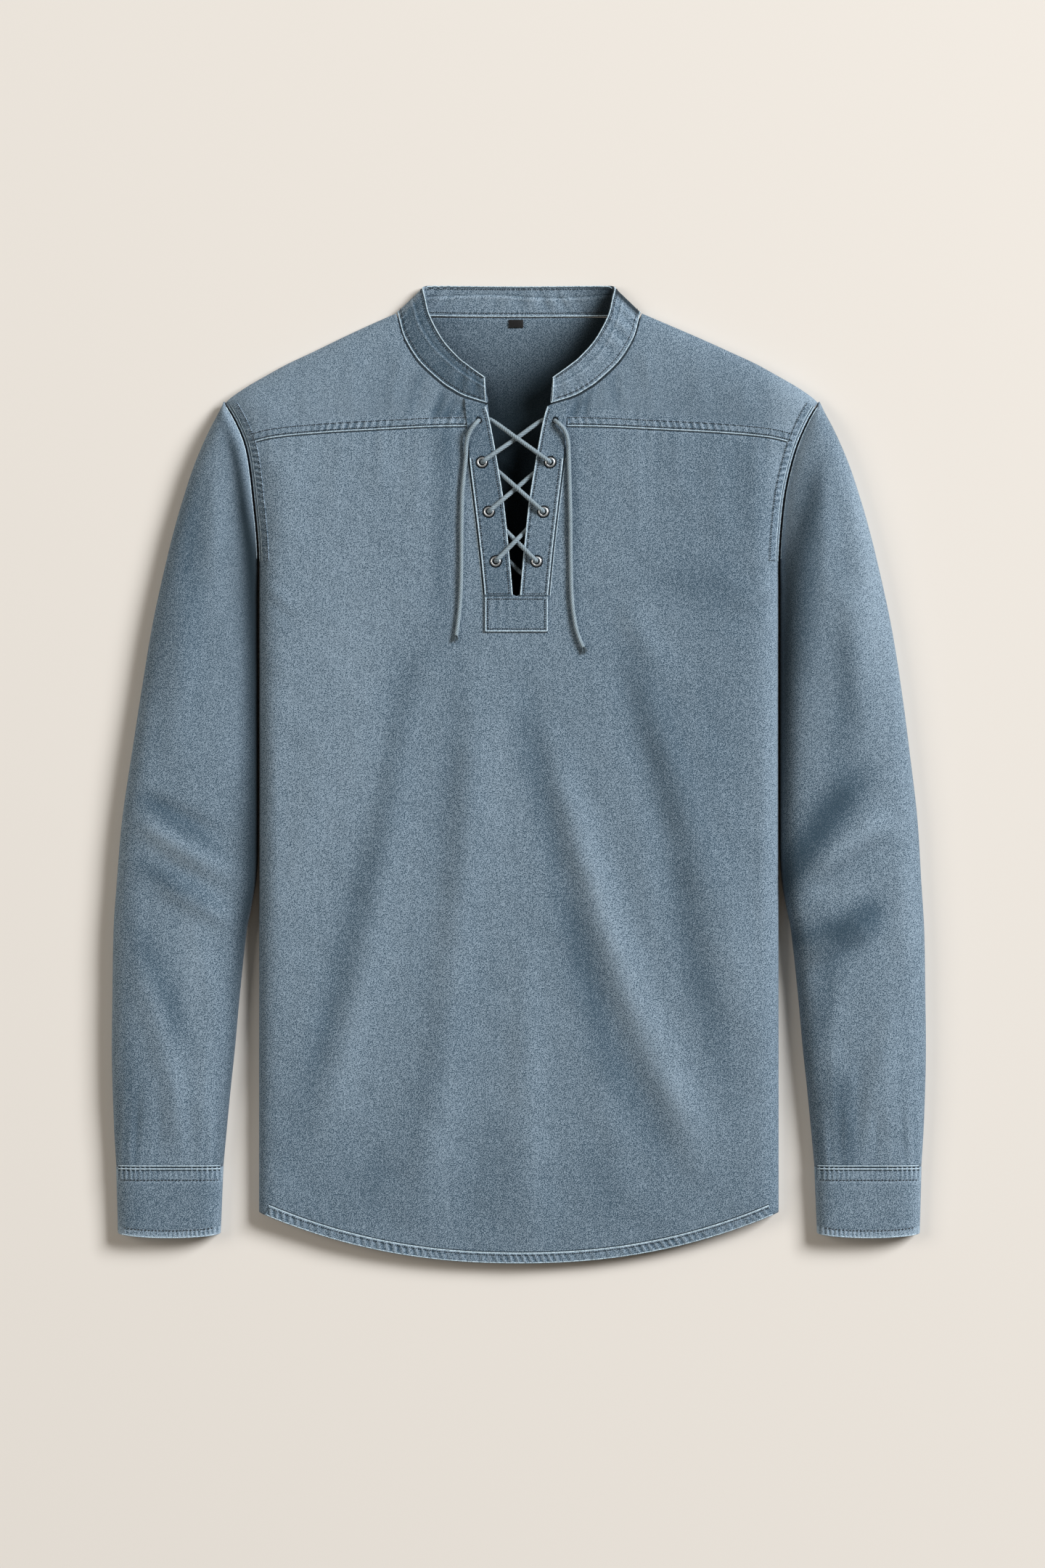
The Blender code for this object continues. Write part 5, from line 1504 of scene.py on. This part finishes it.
def ridge_piece(name, cloth_name, grids, material=EDGE_DENIM):
    """One mesh of all the ridges, or all the painted shadow lines, on a piece of cloth."""
    corners, faces, start = [], [], 0
    for grid in grids:
        rows, columns = grid.shape[:2]
        index = start + np.arange(rows * columns).reshape(rows, columns)
        faces.append(np.stack([index[:-1, :-1], index[:-1, 1:], index[1:, 1:], index[1:, :-1]],
                              axis=-1).reshape(-1, 4))
        corners.append(grid.reshape(-1, 3))
        start += rows * columns
    corners, faces = np.concatenate(corners), np.concatenate(faces)
    mesh = bpy.data.meshes.new(name)
    mesh.from_pydata((corners * MM).tolist(), [], faces.tolist())
    threads = mesh.attributes.new("thread", "FLOAT_VECTOR", "POINT")
    threads.data.foreach_set("vector", corners.ravel())
    mark_points(mesh, "wear_and_painted_light", np.full(len(corners), RIDGE_WEAR))
    mesh.shade_smooth()
    mesh.materials.append(material)
    sewn(add_object(name, mesh), cloth_name)


def painted_groove_shadow(run, seed, width=1.0):
    """Rows of points of the painted shadow line beside a ridge: a dark strip for the shade of the
    groove where the thread has drawn the cloth in.
    """
    return ridge(run, height=0.2, width=width, seed=seed)


STITCH_WIDTH, STITCH_SINK = 0.9, -0.15
# corners of a stitch along and across it: four at its foot, then four on its narrower top
STITCH_FOOT = ((-1, -1), (1, -1), (1, 1), (-1, 1))
STITCH_TOP = ((-0.7, -0.6), (0.7, -0.6), (0.7, 0.6), (-0.7, 0.6))
STITCH_FACES = np.array(((4, 5, 6, 7), (0, 1, 5, 4), (1, 2, 6, 5), (2, 3, 7, 6), (3, 0, 4, 7)))


def stitch_row(run, pitch=1.9, length=1.35, height=0.2):
    """Corners of the small flat stitches along a run, eight to a stitch."""
    points, off = run
    travelled = travelled_along(points)
    middles = np.arange(pitch, travelled[-1] - pitch / 2, pitch)
    at, up, ahead = (np.stack([np.interp(middles, travelled, column) for column in rows.T], axis=1)
                     for rows in (points, off, np.gradient(points, axis=0)))
    ahead /= np.linalg.norm(ahead, axis=1)[:, None]
    left = np.cross(up, ahead)
    corners = [at + ahead * (far * length / 2) + left * (aside * STITCH_WIDTH / 2) + up * rise
               for places, rise in ((STITCH_FOOT, STITCH_SINK), (STITCH_TOP, height))
               for far, aside in places]
    return np.stack(corners, axis=1).reshape(-1, 3)


def stitch_piece(name, cloth_name, rows):
    """One mesh of all the stitches on a piece of cloth."""
    corners = np.concatenate(rows)
    first = 8 * np.arange(len(corners) // 8)[:, None, None]
    mesh = bpy.data.meshes.new(name)
    mesh.from_pydata((corners * MM).tolist(), [], (first + STITCH_FACES).reshape(-1, 4).tolist())
    mesh.materials.append(STITCH_THREAD_PAINTED_SHADE)
    sewn(add_object(name, mesh), cloth_name)
    print(name, len(corners) // 8, "stitches")


# %% [markdown]
# The body's own seams are the hem, the yoke seams and the armholes. The hem is turned up twice
# and pulls into short slanting puckers, and the yoke seam and the armhole have bands on the
# side to which their edges were folded.

# %% Seams of the body
def run_beside(line, distance, on):
    """A run on a named surface, moved to a line's own left by a distance."""
    return laid_run(beside(line, distance), on)


hem = sewing_line([(x, float(hem_line(x))) for x in np.linspace(-203, 203, 41)])
seam_band("hem_band", "front_panel", beside(hem, 0.4), "body", 7.2, 0.4, pitch=5.6, ripple=0.45)
body_ridges = [ridge(run_beside(hem, 8.3, "body"), height=0.30, width=1.3, seed=0.5),
               ridge(run_beside(hem, 0.7, "body"), height=0.75, width=1.1, seed=2.2)]
body_stitches = [stitch_row(run_beside(hem, 6.9, "body"), height=0.95)]
body_painted_shadows = [painted_groove_shadow(run_beside(hem, 9.3, "body"), seed=0.4)]
for side, word in SIDES:
    seam = sewing_line([(side * x, float(along(YOKE_SEAM, x)))
                        for x in np.linspace(38.6, 217.0, 21)])
    seam_band(f"yoke_band_{word}", f"yoke_{word}_cloth", beside(seam, side * 1.2), "body",
              side * 6.6, 1.7 + side, pitch=5.6)
    yoke_ridges = [ridge(run_beside(seam, side * 0.5, "body"), height=0.55, seed=side)]
    yoke_stitches = [stitch_row(run_beside(seam, side * 2.0, "body"), height=1.0),
                     stitch_row(run_beside(seam, side * 7.0, "body"), height=1.0)]
    body_painted_shadows.append(painted_groove_shadow(run_beside(seam, side * -0.6, "body"), seed=side))
    armhole = sewing_line([(side * (float(along(SIDE_EDGE, y)) - 0.5), y)
                           for y in np.linspace(170, 293, 31)])
    seam_band(f"armhole_band_{word}", "front_panel", beside(armhole, side * 2.6), "body",
              side * 5.6, 4.2 + side, pitch=5.0)
    body_ridges += [ridge(run_beside(armhole, side * 0.5, "body"), height=0.5, seed=3 + side),
                    ridge(run_beside(armhole, side * 2.5, "body"), height=0.55, seed=5 + side)]
    body_stitches.append(stitch_row(run_beside(armhole, side * 7.4, "body"), height=0.9))
    body_painted_shadows.append(painted_groove_shadow(run_beside(armhole, side * 1.55, "body"), seed=side, width=0.9))
    ridge_piece(f"yoke_ridges_{word}", f"yoke_{word}_cloth", yoke_ridges)
    stitch_piece(f"yoke_stitches_{word}", f"yoke_{word}_cloth", yoke_stitches)
ridge_piece("body_ridges", "front_panel", body_ridges)
ridge_piece("body_painted_shadow_lines", "front_panel", body_painted_shadows, material=PAINTED_SHADOW_DENIM)
stitch_piece("body_stitches", "front_panel", body_stitches)

# %% [markdown]
# A sleeve has a ridge where it meets the armhole and another above the cuff. The cuff is
# stitched once under its seam and once above its edge.

# %% Seams of sleeves and cuffs
CUFF_STITCHES = {"pitch": 2.8, "length": 1.4, "height": 0.45}

for side, word in SIDES:
    on = f"sleeve_{word}"
    top = sewing_line([(side * (float(sleeve_inner(np.array(y))) + 0.9), y)
                       for y in np.linspace(172, 293, 31)])
    end = sewing_line([(side * x, SLEEVE_END + 0.45) for x in np.linspace(239, 320, 9)])
    ridge_piece(f"sleeve_ridges_{word}", f"sleeve_{word}_cloth",
                [ridge(laid_run(top, on), height=0.5, seed=side),
                 ridge(laid_run(end, on), height=0.4, seed=2 + side)])
    start = sewing_line([(side * x, SLEEVE_END - 1.0) for x in np.linspace(239, 320, 9)])
    edge = sewing_line([(side * x, float(cuff_edge(x))) for x in np.linspace(242, 317.6, 21)])
    ridge_piece(f"cuff_ridges_{word}", f"cuff_{word}_cloth",
                [ridge(run_beside(start, -side * 0.9, "cuff"), height=0.6, seed=4 + side),
                 ridge(run_beside(edge, side * 0.6, "cuff"), height=0.3, width=0.8, seed=side)])
    ridge_piece(f"cuff_painted_shadow_lines_{word}", f"cuff_{word}_cloth",
                [painted_groove_shadow(run_beside(start, side * 0.25, "cuff"), seed=side, width=1.1),
                 painted_groove_shadow(run_beside(start, -side * 2.1, "cuff"), seed=2 + side)],
                material=PAINTED_SHADOW_DENIM)
    stitch_piece(f"cuff_stitches_{word}", f"cuff_{word}_cloth",
                 [stitch_row(run_beside(start, -side * 9.9, "cuff"), **CUFF_STITCHES),
                  stitch_row(run_beside(edge, side * CUFF_EDGE_BAND, "cuff"), **CUFF_STITCHES)])

# %% [markdown]
# The collar band has a ridge along both edges and at its slanted front ends, each with a row
# of stitches just inside. Its seam runs round the neck, also inside the back.

# %% Seams of the collar
# how far outside the seam its painted shadow line runs, at each station that lies on the yoke
OUTSIDE_SEAM = ((0.3, -1.1), (0.4, -1.0), (0.6, -0.9), (0.8, -0.8), (0.9, -0.6), (1.0, -0.4))
NECK_SEAM = [(station[0] + aside, station[1] + down)
             for station, (aside, down) in zip(COLLAR_STATIONS, OUTSIDE_SEAM)]
WHOLE_BAND = (0.004, 0.996)                 # from one front end to the other, just inside both


def collar_end(side):
    """A run up the slanted front end of the collar, and the directions off it."""
    column = 1 if side < 0 else collar_grid.shape[1] - 2
    points = collar_grid[1:-1, column]
    up = np.broadcast_to(np.array((0.0, 0.0, 1.0)), points.shape)
    return points + up * 0.05, up


ridge_piece("collar_ridges", "collar_band_cloth",
            [ridge(collar_run(0.985), height=0.5, seed=1.0),
             ridge(collar_run(0.03), height=0.55, seed=3.0)])
stitch_piece("collar_stitches", "collar_band_cloth",
             [stitch_row(collar_run(v, *WHOLE_BAND), height=0.35) for v in (0.90, 0.13)])
collar_painted_shadows = [painted_groove_shadow(collar_run(0.945, *WHOLE_BAND), seed=0.7, width=0.7)]
for side, _ in SIDES:
    neck_seam = sewing_line([(side * x, y) for x, y in NECK_SEAM])
    collar_painted_shadows.append(painted_groove_shadow(laid_run(neck_seam, "body"), seed=side, width=1.2))
ridge_piece("collar_painted_shadow_lines", "collar_band_cloth", collar_painted_shadows, material=PAINTED_SHADOW_DENIM)
ridge_piece("collar_end_ridges", "collar_band_cloth",
            [ridge(collar_end(side), height=0.5, width=1.1) for side, _ in SIDES])

# %% [markdown]
# The placket's strips are edge-stitched on both sides, and the square at the foot on three.
# Two rows across hold the foot of the slit, where it is pulled most.

# %% Seams of the placket
STRIP_SEAM_FOOT = PLACKET_FOOT + 1.2
RIM_TOP, OUTER_TOP = 293.0, 252.0           # how high the strips' inner and outer edges are sewn
FOOT_ROWS = 143.6, 139.4                    # the two rows of stitches across the slit's foot

for side, word in SIDES:
    rim = sewing_line([(PLACKET_AXIS + side * (float(along(SLIT_HALF, y)) + 0.6), y)
                       for y in np.linspace(STRIP_SEAM_FOOT, RIM_TOP, 31)])
    outer = sewing_line([(PLACKET_AXIS + side * (float(along(STRIP_HALF, y)) - 0.7), y)
                         for y in np.linspace(STRIP_SEAM_FOOT, OUTER_TOP, 25)])
    foot = sewing_line([(PLACKET_AXIS + side * x, FOOT_ROWS[0])
                        for x in np.linspace(5.0, 24.0, 5)])
    ridge_piece(f"strip_ridges_{word}", f"placket_strip_{word}",
                [ridge(laid_run(rim, "placket"), height=0.4, width=1.2, seed=side),
                 ridge(laid_run(outer, "placket"), height=0.3, width=1.1, seed=4 + side)])
    ridge_piece(f"strip_painted_shadow_lines_{word}", f"placket_strip_{word}",
                [painted_groove_shadow(run_beside(outer, -side * 1.15, "body"), seed=side, width=1.3)],
                material=PAINTED_SHADOW_DENIM)
    ridge_piece(f"front_edge_ridges_{word}", f"placket_strip_{word}",
                [ridge(run_beside(outer, -side * 2.2, "body"), height=0.3, width=0.75, seed=side)])
    stitch_piece(f"strip_stitches_{word}", f"placket_strip_{word}",
                 [stitch_row(run_beside(rim, -side * 2.1, "placket"), height=0.42),
                  stitch_row(run_beside(outer, side * 1.7, "placket"), height=0.42),
                  stitch_row(laid_run(foot, "placket"))])

low, high = BASE_FOOT + 0.7, PLACKET_FOOT - 0.4
near, far = PLACKET_AXIS - BASE_HALF, PLACKET_AXIS + BASE_HALF
down = (high, mix(high, low, 0.5), low)
square = [sewing_line([(near + 0.7, y) for y in down]),
          sewing_line([(x, low) for x in np.linspace(near + 0.9, far - 0.9, 5)]),
          sewing_line([(far - 0.7, y) for y in down[::-1]])]
across_foot = sewing_line([(x, FOOT_ROWS[1]) for x in np.linspace(near + 2, far - 2, 5)])
ridge_piece("square_ridges", "placket_square",
            [ridge(laid_run(line, "placket"), height=0.35, seed=2.0) for line in square])
stitch_piece("square_stitches", "placket_square",
             [stitch_row(run_beside(line, 1.7, "placket"), height=0.35) for line in square]
             + [stitch_row(laid_run(across_foot, "placket"), height=0.4)])

# %% [markdown]
# ## Eyelets
# An eyelet is a turned ring of thin metal, rolled over the edge of its hole. A profile and a
# Screw modifier make it. The rim is a round bead, rubbed bright, and the tube goes down the
# hole. A thin flange under the bead grips the cloth, and is turned in the same way; its
# near-black colour is painted shade, for the dark rim where the cloth dips round the eyelet.

# %% Eyelets
# radius and height over the strip, from the outer edge over the rolled bead and down the bore
EYELET_PROFILE = ((3.8, 0.05), (3.86, 0.4), (3.75, 0.75), (3.5, 1.0), (3.2, 1.08), (2.9, 0.98),
                  (2.68, 0.7), (2.6, 0.3), (2.56, -0.4), (2.56, -3.2))
FLANGE_PROFILE = ((4.75, -0.1), (4.72, 0.16), (4.6, 0.3), (4.1, 0.32), (3.7, 0.2))
EYELET_STEPS, METAL_WALL = 40, 0.25         # steps of a full turn, thickness of the metal


def worn_metal(name, colour):
    """Plated metal, dulled and lightly scratched."""
    material, tree, shader = start_material(name, {"Base Color": (*colour, 1.0), "Metallic": 1.0})
    haze = stretched_noise(tree, object_place(tree), (0.8, 0.8, 0.4), detail=4.0, roughness=0.7)
    rough = add_node(tree, "ShaderNodeMath", {0: haze, 1: 0.5, 2: 0.12}, operation="MULTIPLY_ADD")
    tree.links.new(rough.outputs[0], shader.inputs["Roughness"])
    return material


EYELET_METAL = worn_metal("eyelet_metal", (0.86, 0.88, 0.90))
# near-black painted shade on the flanges, for the dark rim round each eyelet
FLANGE_PAINTED_SHADE_METAL = worn_metal("eyelet_flange_painted_shade", (0.018, 0.022, 0.026))


def turned_ring(name, profile, place, material):
    """A ring turned from a profile round an eyelet's axis."""
    mesh = bpy.data.meshes.new(name)
    ring = [(radius * MM, 0.0, height * MM) for radius, height in profile]
    mesh.from_pydata(ring, [(step, step + 1) for step in range(len(ring) - 1)], [])
    mesh.materials.append(material)
    item = add_object(name, mesh)
    item.location = [value * MM for value in place]
    turned = item.modifiers.new("turned", "SCREW")
    turned.steps = turned.render_steps = EYELET_STEPS
    turned.use_merge_vertices = True
    turned.merge_threshold = MERGE_DISTANCE
    wall = item.modifiers.new("wall", "SOLIDIFY")
    wall.thickness = METAL_WALL * MM
    return item


for side, word in SIDES:
    for row in range(len(EYELET_ROWS)):
        x, y, z = eyelet_centre(side, row)
        place = (x, y, z + float(body_cloth(np.array(x), np.array(y)) - body_height(x, y)))
        eyelet = turned_ring(f"eyelet_ring_{word}_{row + 1}", EYELET_PROFILE, place, EYELET_METAL)
        finish_piece(eyelet, "eyelet_metal", f"eyelet_{word}_{row + 1}")
        flange = turned_ring(f"eyelet_flange_{word}_{row + 1}", FLANGE_PROFILE, place, FLANGE_PAINTED_SHADE_METAL)
        on_shirt(flange)
print("eyelets:", 2 * len(EYELET_ROWS))

# %% [markdown]
# ## Label
# A small black woven tab is sewn below the back of the collar. It is left bare.

# %% Neck label
LABEL_SIDES, LABEL_ENDS = (-8.1, 3.5), (357.4, 363.8)
LABEL_CLOTH = 0.6
LABEL_BLACK = plain_yarn("label_black", (0.004, 0.004, 0.005), (0.012, 0.012, 0.014), 0.35,
                         roughness=0.55)
u, v = np.meshgrid(np.linspace(0, 1, 40), np.linspace(0, 1, 24))
weave = 0.04 * np.sin(u * 90) * np.sin(v * 50)
bulge = 0.35 * np.sin(math.pi * u) * np.sin(math.pi * v * 0.6)
label_top = CLOTH + LAY_GAP + LABEL_CLOTH + bulge + weave
points = np.stack([mix(*LABEL_SIDES, u), mix(*LABEL_ENDS, v), label_top], axis=2)
label = lay_cloth("neck_label", points, flat_places(points), np.zeros_like(u),
                  thickness=LABEL_CLOTH, material=LABEL_BLACK)
finish_piece(label, "label", "size_label", flat=(0.0118, 0.0120), held="folded", area=0.000080,
             rests_on=["back_panel"])
print(label.name, len(label.data.polygons), "faces")

# %% [markdown]
# ## What is sewn on each sheet
# The bands, ridges and stitches on a sheet of cloth go with it, in a list of its own.

# %% [markdown]
# ## Floor and light
# The shirt lies on a plain pale floor. One large soft lamp stands low at the upper right, so
# that it rakes over the cloth: folds get a bright flank and a dark one, the sleeves' inner
# sides fall into shade, and a soft shadow lies to the left and below. A weak warm lamp at the
# left and a faint sky fill it.

# %% Floor
FLOOR_HALF = 14.0                           # metres from its middle to its edges
floor_mesh = bpy.data.meshes.new("floor")
floor_grid = bmesh.new()
bmesh.ops.create_grid(floor_grid, x_segments=2, y_segments=2, size=FLOOR_HALF)
floor_grid.to_mesh(floor_mesh)
floor_grid.free()
floor = add_object("floor", floor_mesh)
floor.location.z = -0.1 * MM
pale_floor, _, _ = start_material("pale_floor", {
    "Base Color": (0.83, 0.79, 0.74, 1.0), "Roughness": 0.95, "Specular IOR Level": 0.1})
floor_mesh.materials.append(pale_floor)
print("floor:", 2 * FLOOR_HALF, "m wide")

# %% Lamps
LAMP_DISTANCE = 12.0
# name, azimuth and elevation in degrees, size, power, colour
LAMPS = (("key_lamp", 30, 36, 4.6, 1780, (0.98, 0.99, 1.0)),
         ("left_fill", 168, 42, 6.0, 420, (1.0, 0.95, 0.88)))
SKY_COLOUR, SKY_STRENGTH = (1.0, 0.87, 0.70, 1.0), 0.12


def soft_lamp(name, azimuth, elevation, size, power, colour):
    """A square area lamp that looks at the shirt."""
    azimuth, elevation = math.radians(azimuth), math.radians(elevation)
    away = Vector((math.cos(azimuth) * math.cos(elevation), math.sin(azimuth) * math.cos(elevation),
                   math.sin(elevation)))
    lamp = bpy.data.lights.new(name, "AREA")
    lamp.size = size
    lamp.energy = power
    lamp.color = colour
    item = add_object(name, lamp)
    item.location = away * LAMP_DISTANCE
    item.rotation_euler = away.to_track_quat("Z", "Y").to_euler()


for lamp in LAMPS:
    soft_lamp(*lamp)
world = bpy.data.worlds.new("studio")
scene.world = world
world.use_nodes = True
sky = world.node_tree.nodes["Background"]
sky.inputs["Color"].default_value = SKY_COLOUR
sky.inputs["Strength"].default_value = SKY_STRENGTH
scene.view_settings.view_transform = "Standard"
print("lamps:", [name for name, *_ in LAMPS])
